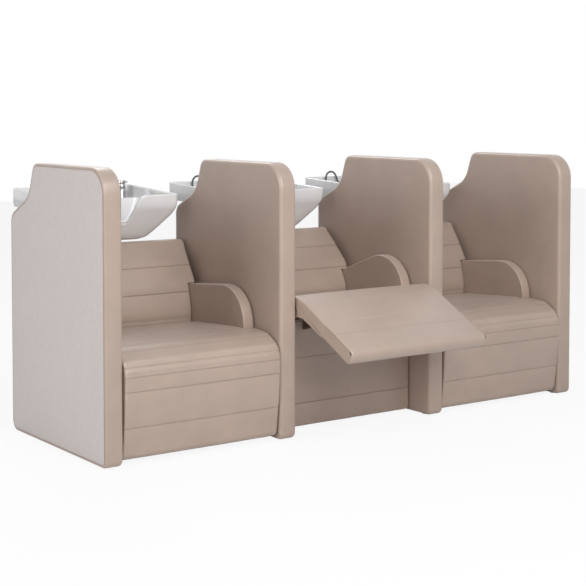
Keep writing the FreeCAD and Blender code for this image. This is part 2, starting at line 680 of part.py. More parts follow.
def footrest_frame():
    """The hinge barrel and the steel plate inside the pad."""
    half = SOFT_HALF - FOOT_SIDE
    down, front, length = foot_direction()
    barrel = rod(-half, half, BARREL_R, FOOT_PIN_Y, FOOT_PIN_Z)
    plate = foot_plate(half, FOOT_PLATE_L, FOOT_PLATE_T)
    body = join([barrel, plate])
    body = body.cut(rod(-half - OVERRUN, half + OVERRUN, PIN_R + PIN_FIT, FOOT_PIN_Y, FOOT_PIN_Z))
    return body.cut(both_sides(lug_slot()))


def foot_plate(half, length, thickness):
    """A flat plate hanging from the hinge in the middle of the pad."""
    down, front, _ = foot_direction()
    pivot = V(-half, FOOT_PIN_Y, FOOT_PIN_Z)
    corners = [pivot + front * (thickness / 2), pivot + front * (thickness / 2) + down * length,
               pivot - front * (thickness / 2) + down * length, pivot - front * (thickness / 2)]
    return Part.Face(Part.makePolygon(corners + corners[:1])).extrude(V(2 * half, 0, 0))


def lug_slot():
    """The room that a seat frame lug sweeps in the pad and the barrel."""
    low = FOOT_PIN_Z - FOOT_SLOT_DROP
    return block(FOOT_LUG_X - FOOT_LUG_GAP, FOOT_LUG_X + LUG_T + FOOT_LUG_GAP,
                 FOOT_PIN_Y - FOOT_LUG_R - FOOT_LUG_GAP, FOOT_PIN_Y + FOOT_R + OVERRUN,
                 low, FOOT_PIN_Z + FOOT_R + OVERRUN)


def footrest_pad():
    """The footrest's upholstery, with pockets for its frame and slots for the lugs."""
    pad = cushion_loft(foot_section)
    half = SOFT_HALF - FOOT_SIDE + SOFT_GAP
    barrel = rod(-half, half, BARREL_R + SOFT_GAP, FOOT_PIN_Y, FOOT_PIN_Z)
    pocket = foot_plate(half, FOOT_PLATE_L + SOFT_GAP, FOOT_PLATE_T + 2 * RUN_GAP)
    return pad.cut([barrel, pocket] + both_sides(lug_slot()))


# Back

def back_axes():
    """Unit vectors up the back board and out of its rear, and the board's top and foot at its front face."""
    lean = math.radians(BACK_LEAN)
    up = V(0, math.sin(lean), math.cos(lean))
    rear = V(0, math.cos(lean), -math.sin(lean))
    top = V(0, BACK_PIVOT_Y, BACK_PIVOT_Z) - rear * (BACK_BOARD_T / 2) - up * KNUCKLE_RISE
    return up, rear, top, top - up * BACK_BOARD_L


def back_board():
    """The back's board with two knuckles that turn on the hinge bar."""
    up, rear, top, foot = back_axes()
    half = SOFT_HALF - BOARD_SIDE
    corners = [foot, top, top + rear * BACK_BOARD_T, foot + rear * BACK_BOARD_T]
    corners = [V(-half, c.y, c.z) for c in corners]
    board = Part.Face(Part.makePolygon(corners + corners[:1])).extrude(V(2 * half, 0, 0))
    ring = rod(KNUCKLE_X, KNUCKLE_X + KNUCKLE_W, KNUCKLE_R, BACK_PIVOT_Y, BACK_PIVOT_Z)
    bore = rod(-BAY_HALF, BAY_HALF, BAR_R + PIN_FIT, BACK_PIVOT_Y, BACK_PIVOT_Z)
    return join([board] + both_sides(ring)).cut(bore)


def back_section(pull, fall, x):
    """The back cushion's outline from its foot up the front, its front moved back towards the sides."""
    drop = pull * BACK_SIDE_DROP + fall * BACK_FALL
    up, rear, top, foot = back_axes()
    face = (
        (BACK_LOW_Y + drop, BACK_LOW_Z, BACK_LOW_R), (foot.y, BACK_LOW_Z, 0), (foot.y, foot.z, 0),
        (top.y, top.z, 0), (BACK_PIVOT_Y, BACK_PIVOT_Z, 0), (BACK_PIVOT_Y, BACK_TOP_Z, 0),
        (BACK_TOP_Y + drop * BACK_TOP_SHARE, BACK_TOP_Z, BACK_TOP_R),
        (BACK_HEAD_Y + drop, BACK_HEAD_Z, BACK_HEAD_R),
        (BACK_LUMBAR_Y + drop, BACK_LUMBAR_Z, BACK_LUMBAR_R),
        (BACK_HOLLOW_Y + drop, BACK_HOLLOW_Z, BACK_HOLLOW_R),
    )
    sewn = with_channels(face, 8, BACK_LUMBAR_SEAMS_Z)
    sewn = with_channels(sewn, 7, BACK_HEAD_SEAMS_Z)
    return side_wire(sewn, x)


def back_cushion():
    """The crowned back, narrow between the armrests and cut round the hinge bar."""
    cushion = cushion_loft(back_section)
    notch = block(SOFT_HALF - ARM_W - BACK_NOTCH_GAP, BAY_HALF, BACK_HOLLOW_Y - OVERRUN, PANEL_D,
                  BACK_LOW_Z - OVERRUN, BACK_NOTCH_TOP_Z)
    bar = rod(-BAY_HALF, BAY_HALF, KNUCKLE_R + SOFT_GAP, BACK_PIVOT_Y, BACK_PIVOT_Z)
    return cushion.cut(both_sides(notch) + [bar])


# Basin

def bowl(inset, low, high):
    """A tapering bowl between two heights, drawn in by inset from the outer skin."""
    wires = []
    half = BASIN_W / 2
    for height_share, half_share, front_share, rear_share, radius_share in BOWL_SHARES:
        wires.append(level_wire(half * half_share - inset, BASIN_FRONT_Y + BOWL_D * front_share + inset,
                                BASIN_FRONT_Y + BOWL_D * rear_share - inset,
                                BASIN_CORNER_R * radius_share - inset / 2,
                                BOWL_LOW_Z + (BASIN_TOP_Z - BOWL_LOW_Z) * height_share))
    body = Part.makeLoft(wires, True, True)
    keep = block(-BASIN_W, BASIN_W, BASIN_FRONT_Y - BASIN_W, BASIN_REAR_Y + BASIN_W, low, high)
    return body.common(keep)


def neck_cut():
    """The U in the front wall for the neck: an ellipse below the rim, open above it."""
    arc = Part.Ellipse(V(0, 0, 0), BASIN_FRONT_Z - NECK_LOW_Z, NECK_HALF)
    disc = Part.Face(Part.Wire(arc.toShape()))
    disc.rotate(V(0, 0, 0), V(0, 0, 1), 90)
    disc.rotate(V(0, 0, 0), V(1, 0, 0), 90)
    disc.translate(V(0, BASIN_FRONT_Y + NECK_DEPTH, BASIN_FRONT_Z))
    return disc.extrude(V(0, -NECK_DEPTH - OVERRUN, 0))


def basin():
    """The ceramic basin: tapering bowl, rear deck inside the rim, neck cut, drain and tap holes."""
    half = BASIN_W / 2
    deck = Part.Face(level_wire(half, DECK_FRONT_Y - OVERRUN, BASIN_REAR_Y, BASIN_CORNER_R, DECK_LOW_Z))
    deck = deck.extrude(V(0, 0, BASIN_TOP_Z - DECK_LOW_Z))
    body = join([bowl(0, BOWL_LOW_Z, BASIN_TOP_Z), deck])
    tray = Part.Face(level_wire(half - BASIN_WALL, BASIN_FRONT_Y + BASIN_WALL, BASIN_REAR_Y - BASIN_WALL,
                                BASIN_CORNER_R - BASIN_WALL / 2, DECK_Z))
    tray = tray.extrude(V(0, 0, BASIN_TOP_Z - DECK_Z + OVERRUN))
    slope = slab(((BASIN_FRONT_Y - OVERRUN, BASIN_FRONT_Z, 0), (BASIN_FRONT_Y, BASIN_FRONT_Z, 0),
                  (DECK_FRONT_Y, BASIN_TOP_Z, 0), (DECK_FRONT_Y, BASIN_TOP_Z + OVERRUN, 0),
                  (BASIN_FRONT_Y - OVERRUN, BASIN_TOP_Z + OVERRUN, 0)), -BASIN_W, BASIN_W)
    drain = Part.makeCylinder(DRAIN_R, OVERRUN, V(0, DRAIN_Y, BOWL_LOW_Z - OVERRUN / 2))
    body = body.cut([slope, tray, bowl(BASIN_WALL, BOWL_FLOOR_Z, BASIN_TOP_Z), neck_cut(), drain])
    rim = [e for e in body.Edges if is_rim_edge(e)]
    return body.makeFillet(BASIN_WALL / 4, rim)


def is_rim_edge(edge):
    """True for the edges round the top of the rim, on the outside."""
    box = edge.BoundBox
    outside = max(abs(box.XMin), abs(box.XMax)) > BASIN_W / 2 - BASIN_CORNER_R
    return box.ZMin > BASIN_FRONT_Z - SOFT_GAP and outside


def basin_cradle():
    """The plate under the deck with two lugs that turn on the stand's pin."""
    half = CRADLE_W / 2
    plate = block(-half, half, CRADLE_FRONT_Y + CRADLE_T, CRADLE_REAR_Y, DECK_LOW_Z - CRADLE_T, DECK_LOW_Z)
    lug = slab(((BASIN_PIVOT_Y - CRADLE_LUG_R, DECK_LOW_Z - CRADLE_T, 0),
                (BASIN_PIVOT_Y - CRADLE_LUG_R, BASIN_PIVOT_Z - CRADLE_LUG_R, CRADLE_LUG_R - RUN_GAP),
                (BASIN_PIVOT_Y + CRADLE_LUG_R, BASIN_PIVOT_Z - CRADLE_LUG_R, CRADLE_LUG_R - RUN_GAP),
                (BASIN_PIVOT_Y + CRADLE_LUG_R, DECK_LOW_Z - CRADLE_T, 0)), CRADLE_LUG_X, CRADLE_LUG_X + LUG_T)
    bore = rod(-BASIN_W, BASIN_W, PIN_R + PIN_FIT, BASIN_PIVOT_Y, BASIN_PIVOT_Z)
    return join([plate] + both_sides(lug)).cut(bore)


def waste():
    """The strainer flange in the bowl, the tail pipe through the drain, and the back nut below."""
    seat = V(0, DRAIN_Y, BOWL_FLOOR_Z)
    flange = Part.makeCone(FLANGE_R, FLANGE_R - FLANGE_H, FLANGE_H, seat)
    pipe = Part.makeCylinder(TAIL_R, BOWL_FLOOR_Z - TAIL_LOW_Z, V(0, DRAIN_Y, TAIL_LOW_Z))
    bore = Part.makeCylinder(TAIL_R - TAIL_WALL, BOWL_FLOOR_Z - TAIL_LOW_Z, V(0, DRAIN_Y, TAIL_LOW_Z - OVERRUN))
    nut_z = BOWL_LOW_Z - NUT_H
    nut = Part.makeCylinder(NUT_R, NUT_H, V(0, DRAIN_Y, nut_z)).cut(
        Part.makeCylinder(TAIL_R, NUT_H + OVERRUN, V(0, DRAIN_Y, nut_z - OVERRUN / 2)))
    body = join([flange, pipe.cut(bore), nut])
    holes = []
    for ring_share, count in HOLE_RING_SHARES:
        for k in range(count):
            angle = 2 * math.pi * k / count
            reach = ring_share * (TAIL_R - TAIL_WALL)
            spot = V(reach * math.cos(angle), DRAIN_Y + reach * math.sin(angle), BOWL_FLOOR_Z - OVERRUN)
            holes.append(Part.makeCylinder(HOLE_R, 2 * OVERRUN, spot))
    return body.cut(holes)


# Taps

def mixer_body():
    """The tap's base and stem, and the ferrule that the hose comes out of."""
    spot = V(MIXER_X, MIXER_Y, DECK_Z)
    base = Part.makeCone(MIXER_BASE_R, MIXER_R, MIXER_BASE_H, spot)
    stem = Part.makeCylinder(MIXER_R, MIXER_H - MIXER_BASE_H, spot + V(0, 0, MIXER_BASE_H))
    spigot = Part.makeCylinder(PIN_R, CAP_H / 2, spot + V(0, 0, MIXER_H))
    x, y, _ = HOSE_ROUTE[0]
    top = HOSE_ROUTE[0][2]
    ferrule = Part.makeCone(FERRULE_R, FERRULE_NUT_R, top - DECK_Z, V(x, y, DECK_Z))
    return [join([base, stem, spigot]), ferrule]


def mixer_lever():
    """The turning cap with its lever, held on the spigot."""
    spot = V(MIXER_X, MIXER_Y, DECK_Z + MIXER_H + RUN_GAP)
    cap = Part.makeCylinder(CAP_R, CAP_H, spot)
    top_edge = [e for e in cap.Edges if e.BoundBox.ZMin > spot.z + CAP_H / 2]
    cap = cap.makeFillet(LEVER_T / 2, top_edge)
    low = spot.z + CAP_H - LEVER_T - RUN_GAP
    arm = block(MIXER_X - LEVER_W / 2, MIXER_X + LEVER_W / 2, MIXER_Y - LEVER_L, MIXER_Y, low - LEVER_T / 2,
                low + LEVER_T / 2)
    tip = [e for e in arm.Edges if e.BoundBox.YMax < MIXER_Y - LEVER_L / 2 and e.BoundBox.ZLength > LEVER_T / 2]
    arm = arm.makeFillet(LEVER_W * LEVER_TIP_SHARE, tip)
    socket = Part.makeCylinder(PIN_R + PIN_FIT, CAP_H / 2 + RUN_GAP, spot - V(0, 0, RUN_GAP / 2))
    return join([cap, arm]).cut(socket)


def shower_hose():
    """A tube of straight runs and tangent arcs through the route's points."""
    points = [V(*p) for p in HOSE_ROUTE]
    spot = points[0]
    edges = []
    radii = []
    for i in range(1, len(points) - 1):
        into, out = points[i - 1] - points[i], points[i + 1] - points[i]
        half = into.getAngle(out) / 2
        reach = TURN_SHARE * min(into.Length, out.Length)
        radius = reach * math.tan(half)
        radii.append(radius)
        into.normalize()
        out.normalize()
        start, end = points[i] + into * reach, points[i] + out * reach
        middle = points[i] + (into + out).normalize() * (radius / math.sin(half) - radius)
        edges.append(Part.LineSegment(spot, start).toShape())
        edges.append(Part.Arc(start, middle, end).toShape())
        spot = end
    edges.append(Part.LineSegment(spot, points[-1]).toShape())
    path = Part.Wire(edges)
    ring = Part.Wire(Part.Circle(points[0], points[1] - points[0], HOSE_R).toShape())
    tube = path.makePipeShell([ring], True, False)
    print("hose radii", [round(r, 1) for r in radii], "least allowed", HOSE_MIN_R)
    print("hose length", round(path.Length, 1), "volume ratio",
          round(tube.Volume / (path.Length * math.pi * HOSE_R ** 2), 4))
    return tube


def hand_shower():
    """The handset lying on the deck: ribbed grip, neck and round head, turned about its long axis."""
    tail_z = HOSE_ROUTE[-1][2]
    axis = V(HANDSET_L, 0, DECK_Z + HANDSET_HEAD_R + HANDSET_REST - tail_z).normalize()
    profile_share = (
        (0.0, HOSE_R * 1.3), (0.0, HANDSET_TAIL_R), (0.12, HANDSET_GRIP_R), (0.45, HANDSET_GRIP_R),
        (0.72, HANDSET_NECK_R), (0.83, HANDSET_HEAD_R * 0.85), (0.88, HANDSET_HEAD_R), (0.99, HANDSET_HEAD_R),
        (1.0, HANDSET_HEAD_R * 0.93),
    )
    across = V(-axis.z, 0, axis.x)
    tail = V(HANDSET_TAIL_X, HANDSET_Y, tail_z)
    corners = [tail + axis * (share * HANDSET_L) + across * radius for share, radius in profile_share]
    corners = [tail] + corners + [tail + axis * HANDSET_L, tail]
    return Part.Face(Part.makePolygon(corners)).revolve(tail, axis, 360)


# The row

def bed_pieces():
    """Every piece of one bed in its lowered position, centred on X = 0, with the name of what it moves with."""
    arm = armrest()
    return {
        "carriage": ("carriage", [carriage()]),
        "seat_frame": ("seat", seat_frame()),
        "seat_cushion": ("seat", [seat_cushion()]),
        "arm_left": ("seat", [arm.mirror(V(0, 0, 0), V(1, 0, 0))]),
        "arm_right": ("seat", [arm]),
        "footrest_frame": ("footrest", [footrest_frame()]),
        "footrest_pad": ("footrest", [footrest_pad()]),
        "back_board": ("back", [back_board()]),
        "back_cushion": ("back", [back_cushion()]),
        "basin": ("basin", [basin()]),
        "basin_cradle": ("basin", [basin_cradle()]),
        "waste": ("basin", [waste()]),
        "mixer_body": ("basin", mixer_body()),
        "mixer_lever": ("basin", [mixer_lever()]),
        "shower_hose": ("basin", [shower_hose()]),
        "hand_shower": ("basin", [hand_shower()]),
    }


def placed(shape, bed, move):
    """A copy of a piece in its bay, moved by the given placement."""
    copy = shape.copy()
    centre = PANEL_T + BAY_HALF + bed * PITCH
    copy.Placement = FreeCAD.Placement(V(centre, 0, 0), FreeCAD.Rotation()) * move * copy.Placement
    return copy


def row():
    """Every node's solids."""
    width = BEDS * PITCH + PANEL_T
    nodes = {
        "left_end_panel": [panel(FABRIC_T, PANEL_T, (PANEL_T,))],
        "right_end_panel": [panel(width - PANEL_T, width - FABRIC_T, (width - PANEL_T,))],
        "end_fabrics": [end_fabric(0, FABRIC_T), end_fabric(width, width - FABRIC_T)],
        "floor_glides": floor_glides(),
    }
    for i in range(1, BEDS):
        nodes[f"partition_{i}"] = [panel(i * PITCH, i * PITCH + PANEL_T, (i * PITCH, i * PITCH + PANEL_T))]
    still = FreeCAD.Placement()
    shared = {"base_fascias": [base_fascia()], "rear_covers": [rear_cover()], "base_frame": base_frame(),
              "actuators": [actuator()], "back_hinge_bars": [back_hinge_bar()], "basin_stands": [basin_stand()]}
    for name, shapes in shared.items():
        nodes[name] = [placed(shape, bed, still) for bed in range(BEDS) for shape in shapes]
    for name, (mover, shapes) in bed_pieces().items():
        for bed in range(BEDS):
            move = MOVES[mover] if bed == RAISED_BED else still
            nodes[f"{name}_{bed + 1}"] = [placed(shape, bed, move) for shape in shapes]
    return nodes


def print_joints(shift):
    """The joints' places, for whoever sets the motion up."""
    for bed in range(BEDS):
        centre = PANEL_T + BAY_HALF + bed * PITCH
        raised = bed == RAISED_BED
        seat_pin = V(0, TILT_PIN_Y, TILT_PIN_Z)
        foot_pin = V(0, FOOT_PIN_Y, FOOT_PIN_Z)
        if raised:
            seat_pin = MOVES["carriage"].multVec(seat_pin)
            foot_pin = MOVES["seat"].multVec(foot_pin)
        spots = {"seat": seat_pin, "footrest": foot_pin, "back": V(0, BACK_PIVOT_Y, BACK_PIVOT_Z),
                 "basin": V(0, BASIN_PIVOT_Y, BASIN_PIVOT_Z), "lever": V(MIXER_X, MIXER_Y, DECK_Z)}
        for name, spot in spots.items():
            place = spot + V(centre, 0, 0) + shift
            print("joint", bed + 1, name, round(place.x, 3), round(place.y, 3), round(place.z, 3))


def main():
    os.makedirs("parts", exist_ok=True)
    nodes = row()
    box = FreeCAD.BoundBox()
    for shapes in nodes.values():
        for shape in shapes:
            box.add(shape.optimalBoundingBox(False, False))
    shift = V(-box.Center.x, -box.Center.y, -box.ZMin)
    for name, shapes in nodes.items():
        whole = shapes[0] if len(shapes) == 1 else Part.makeCompound(shapes)
        whole.translate(shift)
        whole.exportStep(f"parts/{name}.step")
        print("node", name, "solids", len(whole.Solids), "valid", whole.isValid(), "volume", round(whole.Volume))
    print("shift", round(shift.x, 3), round(shift.y, 3), round(shift.z, 3))
    print("box", round(box.XLength, 1), round(box.YLength, 1), round(box.ZLength, 1))
    print_joints(shift)


main()
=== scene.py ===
# %% [markdown]
# # A row of three hair washing beds
# Three padded beds stand between four high upholstered panels, with a ceramic basin behind each headrest.
# Steel, boards and joints come from the CAD model, loaded as a fixed frame. This notebook makes what the eye
# meets first: leather, woven cloth, glazed ceramic, chrome, and the soft shapes under them.

# %% Load the frame
from math import acos, cos, hypot, pi, radians, sin, sqrt, tan

import bmesh
import bpy
import numpy as np
from mathutils import Matrix, Vector
from numpy.linalg import norm


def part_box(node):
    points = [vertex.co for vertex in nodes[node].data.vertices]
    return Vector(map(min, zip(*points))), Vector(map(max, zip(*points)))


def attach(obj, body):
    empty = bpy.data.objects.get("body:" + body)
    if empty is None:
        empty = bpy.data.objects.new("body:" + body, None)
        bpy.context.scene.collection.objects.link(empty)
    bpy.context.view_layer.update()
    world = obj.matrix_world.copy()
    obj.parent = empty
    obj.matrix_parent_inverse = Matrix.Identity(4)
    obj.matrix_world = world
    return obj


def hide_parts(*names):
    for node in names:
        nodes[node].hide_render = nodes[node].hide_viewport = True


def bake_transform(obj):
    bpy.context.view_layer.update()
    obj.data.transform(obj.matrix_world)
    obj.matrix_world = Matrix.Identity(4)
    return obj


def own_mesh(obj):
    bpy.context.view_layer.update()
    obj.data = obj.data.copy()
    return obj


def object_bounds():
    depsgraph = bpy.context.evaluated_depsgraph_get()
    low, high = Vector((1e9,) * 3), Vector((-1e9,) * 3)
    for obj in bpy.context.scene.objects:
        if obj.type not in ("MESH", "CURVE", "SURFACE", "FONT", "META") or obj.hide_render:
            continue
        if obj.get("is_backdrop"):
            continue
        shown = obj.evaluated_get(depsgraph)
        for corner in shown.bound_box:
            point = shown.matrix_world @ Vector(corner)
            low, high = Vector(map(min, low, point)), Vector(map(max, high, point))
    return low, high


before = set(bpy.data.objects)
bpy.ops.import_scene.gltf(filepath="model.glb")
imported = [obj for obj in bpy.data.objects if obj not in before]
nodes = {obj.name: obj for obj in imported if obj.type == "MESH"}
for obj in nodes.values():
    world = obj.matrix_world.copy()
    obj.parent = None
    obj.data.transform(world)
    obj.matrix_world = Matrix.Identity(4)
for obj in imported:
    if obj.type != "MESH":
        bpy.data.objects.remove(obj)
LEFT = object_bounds()[0].x
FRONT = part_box("left_end_panel")[0].y
BEDS = (1, 2, 3)
RAISED_BED = 2

# %% [markdown]
# ## One way of giving places
# Sizes are in millimetres from the left panel's outer face, the panels' front edge and the floor. `metres`
# turns them into Blender's metres. A bed's pieces are drawn round X = 0 in the lowered position, and
# `bed_matrix` carries them to their bay. The middle bed is shown raised: its seat slides forward and tilts,
# the footrest swings up and the back leans away, exactly as its joints do.

# %% Places and poses
PITCH, PANEL_T, BAY = 810.0, 80.0, 730.0
SLIDE, SEAT_TILT, FOOT_LIFT, BACK_TILT = 0.110, 15, 55, 15
SEAT_PIN, FOOT_HINGE, BACK_HINGE = (680.0, 325.6), (22.0, 357.0), (819.8, 763.5)


def metres(points):
    """Millimetre points round a bed's middle as metres in the frame."""
    return np.asarray(points, float) * 0.001 + np.array([0.0, FRONT, 0.0])


def turned(pin, degrees):
    """A turn about a bar along X through pin = (y, z), the front going up."""
    pivot = Vector(metres((0, *pin)))
    turn = Matrix.Rotation(radians(-degrees), 4, "X")
    return Matrix.Translation(pivot) @ turn @ Matrix.Translation(-pivot)


SEAT_RAISED = Matrix.Translation((0, -SLIDE, 0)) @ turned(SEAT_PIN, SEAT_TILT)
RAISED = {"seat": SEAT_RAISED, "footrest": SEAT_RAISED @ turned(FOOT_HINGE, FOOT_LIFT),
          "back": turned(BACK_HINGE, BACK_TILT)}


def bed_matrix(bed, part):
    middle = LEFT + (PANEL_T + BAY / 2 + (bed - 1) * PITCH) * 0.001
    move = RAISED.get(part, Matrix()) if bed == RAISED_BED else Matrix()
    return Matrix.Translation((middle, 0, 0)) @ move


def carried(place, x, y, z):
    """A point in millimetres, moved by the matrix place."""
    return place @ Vector(metres((x, y, z)))


def on_circle(across, up, radius, degrees):
    return across + radius * cos(radians(degrees)), up + radius * sin(radians(degrees))


def placed(name, data):
    """A new object in the scene."""
    made = bpy.data.objects.new(name, data)
    bpy.context.scene.collection.objects.link(made)
    return made


# %% [markdown]
# ## The camera
# The photograph looks slightly down on the row from the left, through a long lens. Its verticals are almost
# parallel, which a lens shift gives. The shift is small, so that other views stay in frame, and a slight tilt
# does the rest.

# %% Camera
SENSOR, FOCAL_PIXELS, PHOTO_PIXELS = 36.0, 1409.03, 586
LOOKS_DOWN, LOOKS_RIGHT = 2.8174, 35.3923
camera_data = bpy.data.cameras.new("camera")
camera_data.sensor_width = SENSOR
camera_data.lens = FOCAL_PIXELS / PHOTO_PIXELS * SENSOR
camera_data.shift_y = -0.2
camera_data.clip_end = 60.0
camera = placed("camera", camera_data)
camera.location = (LEFT - 2.47997, FRONT - 4.71916, 1.38255)
camera.rotation_euler = (radians(90 - LOOKS_DOWN), 0, radians(-LOOKS_RIGHT))
bpy.context.scene.camera = camera
bpy.context.scene.view_settings.view_transform = "Standard"

# %% [markdown]
# ## Light and floor
# A product photograph on white is lit by big soft boxes. A white world gives the even light, and four area
# lamps model the forms: a key from the front and above, a top light, a light from behind for a soft sheen on
# the seats, and a fill from the left. The floor is pale. What the camera sees of it is lifted towards white
# through Light Path, so only a faint shadow stays.


# %% Light and floor
def add_node(tree, kind, inputs=None, **settings):
    """A shader node with its settings, its input values and the links into it."""
    made = tree.nodes.new(kind)
    for key, value in settings.items():
        setattr(made, key, value)
    for key, value in (inputs or {}).items():
        if isinstance(value, bpy.types.NodeSocket):
            tree.links.new(value, made.inputs[key])
        else:
            made.inputs[key].default_value = value
    return made


def result(tree, kind, inputs=None, **settings):
    """The first output of a new node."""
    return add_node(tree, kind, inputs, **settings).outputs[0]


def calc(tree, operation, first, second):
    return result(tree, "ShaderNodeMath", {0: first, 1: second}, operation=operation)


def new_material(name, values):
    """A material with fixed values on its shader; returns it with its tree and its place socket."""
    material = bpy.data.materials.new(name)
    material.use_nodes = True
    tree = material.node_tree
    for key, value in values.items():
        tree.nodes["Principled BSDF"].inputs[key].default_value = value
    return material, tree, add_node(tree, "ShaderNodeTexCoord").outputs["Object"]


WORLD_LIGHT = 0.25
world = bpy.data.worlds.new("white studio")
bpy.context.scene.world = world
world.use_nodes = True
sky = world.node_tree
rays = add_node(sky, "ShaderNodeLightPath").outputs
seen = calc(sky, "MAXIMUM", rays["Is Camera Ray"], rays["Is Glossy Ray"])
seen = calc(sky, "MAXIMUM", seen, rays["Is Transmission Ray"])
level = result(sky, "ShaderNodeMapRange", {"Value": seen, "To Min": WORLD_LIGHT, "To Max": 1.0})
background = sky.nodes["Background"]
background.inputs["Color"].default_value = (1, 1, 1, 1)
sky.links.new(level, background.inputs["Strength"])

for name, place, aim, size, watts in (
        ("key", (-1.3, -5.0, 2.9), (0, 0, 0.5), 2.4, 126),
        ("top", (0.0, -3.2, 3.6), (0, -0.5, 0.4), 1.6, 42),
        ("rear", (0.4, 3.6, 4.4), (0, -0.4, 0.45), 2.0, 60),
        ("side", (-5.0, -1.0, 2.4), (-1.2, 0, 0.6), 2.0, 80)):
    lamp = bpy.data.lights.new(name, "AREA")
    lamp.shape = "SQUARE"
    lamp.size = size
    lamp.energy = watts
    holder = placed(name, lamp)
    holder.location = place
    holder.rotation_euler = (Vector(aim) - Vector(place)).to_track_quat("-Z", "Y").to_euler()

FLOOR_HALF, WHITENED = 14, 0.9
floor_mesh = bpy.data.meshes.new("floor")
floor_corners = [(x * FLOOR_HALF, y * FLOOR_HALF, 0) for x, y in ((-1, -1), (1, -1), (1, 1), (-1, 1))]
floor_mesh.from_pydata(floor_corners, [], [(0, 1, 2, 3)])
floor = placed("floor", floor_mesh)
floor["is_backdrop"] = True
pale, tree, _ = new_material("pale floor", {
    "Base Color": (0.86, 0.86, 0.86, 1), "Roughness": 0.9, "Specular IOR Level": 0.0})
glow = result(tree, "ShaderNodeEmission", {"Color": (1, 1, 1, 1), "Strength": 1.0})
share = calc(tree, "MULTIPLY", add_node(tree, "ShaderNodeLightPath").outputs["Is Camera Ray"], WHITENED)
matt = tree.nodes["Principled BSDF"].outputs[0]
lit = result(tree, "ShaderNodeMixShader", {0: share, 1: matt, 2: glow})
tree.links.new(lit, tree.nodes["Material Output"].inputs["Surface"])
floor_mesh.materials.append(pale)

# %% [markdown]
# ## Finishes
# Each finish is built from its own faults. Leather has fine pebbled grain, slow changes of tone and paler
# edges, and painted shade darkens its sewn creases. The cloth is a plain weave with thicker threads here and
# there. Ceramic is white, with a slow ripple in its glaze. Patterns read Object coordinates, because every
# piece keeps its place in its mesh.


# %% Shader helpers
def linear(red, green, blue):
    """A colour given as screen values from 0 to 255."""
    return tuple(((v / 255 + 0.055) / 1.055) ** 2.4 for v in (red, green, blue)) + (1.0,)


def toned(colour, gain):
    return tuple(min(1.0, c * gain) for c in colour[:3]) + (1.0,)


def tones(tree, value, low, high, start=0.35, end=0.65):
    """A colour that goes from low to high as value goes from start to end."""
    ramp = add_node(tree, "ShaderNodeValToRGB", {"Fac": value})
    ramp.color_ramp.elements[0].position = start
    ramp.color_ramp.elements[0].color = low
    ramp.color_ramp.elements[1].position = end
    ramp.color_ramp.elements[1].color = high
    return ramp.outputs["Color"]


def noise(tree, place, scale, detail=3.0, rough=0.5, stretch=None):
    if stretch:
        place = result(tree, "ShaderNodeMapping", {"Vector": place, "Scale": stretch})
    return result(tree, "ShaderNodeTexNoise", {
        "Vector": place, "Scale": scale, "Detail": detail, "Roughness": rough})


def spread(tree, value, low, high, start=0.3, end=0.7):
    return result(tree, "ShaderNodeMapRange", {
        "Value": value, "From Min": start, "From Max": end, "To Min": low, "To Max": high})


def mixed(tree, share, first, second, blend="MIX"):
    inputs = {0: share, 6: first, 7: second}
    return add_node(tree, "ShaderNodeMix", inputs, data_type="RGBA", blend_type=blend).outputs[2]


def finished(material, colour, roughness, layers):
    """Links a material's colour, its roughness if it varies, and bumps of (height, strength, metres)."""
    tree = material.node_tree
    normal = None
    for height, strength, distance in layers:
        inputs = {"Height": height, "Strength": strength, "Distance": distance}
        if normal:
            inputs["Normal"] = normal
        normal = result(tree, "ShaderNodeBump", inputs)
    for key, value in (("Base Color", colour), ("Roughness", roughness), ("Normal", normal)):
        if value:
            tree.links.new(value, tree.nodes["Principled BSDF"].inputs[key])
    return material


# %% Leather and cloth
TAUPE = linear(177, 157, 144)
CLOTH = linear(209, 200, 197)


def leather(name, colour):
    """Taut upholstery leather: pebbled grain, slow tone changes, paler where edges are rubbed, and painted
    shade in the sewn creases.
    """
    material, tree, place = new_material(name, {
        "Specular IOR Level": 0.5, "Coat Weight": 0.45, "Coat Roughness": 0.3, "Sheen Weight": 0.15,
        "Sheen Roughness": 0.45})
    mottle = noise(tree, place, 6.0, 6.0, 0.62)
    hide = tones(tree, mottle, toned(colour, 0.955), toned(colour, 1.035), 0.36, 0.64)
    edge = add_node(tree, "ShaderNodeNewGeometry").outputs["Pointiness"]
    worn = mixed(tree, spread(tree, edge, 0.0, 0.35, 0.51, 0.56), hide, toned(colour, 1.12))
    # Painted shade: the seam attribute darkens the leather to 45 % of its colour in the sewn creases.
    crease_shade = add_node(tree, "ShaderNodeAttribute", attribute_name="seam").outputs["Fac"]
    grain = result(tree, "ShaderNodeTexVoronoi", {"Vector": place, "Scale": 560.0, "Smoothness": 0.6},
                   feature="SMOOTH_F1")
    pores, sag = noise(tree, place, 1500.0, 2.0), noise(tree, place, 9.0, 2.0)
    return finished(material, mixed(tree, crease_shade, worn, toned(colour, 0.45)),
                    spread(tree, noise(tree, place, 22.0, 5.0), 0.33, 0.45),
                    [(sag, 0.10, 0.006), (grain, 0.30, 0.0005), (pores, 0.12, 0.0002)])


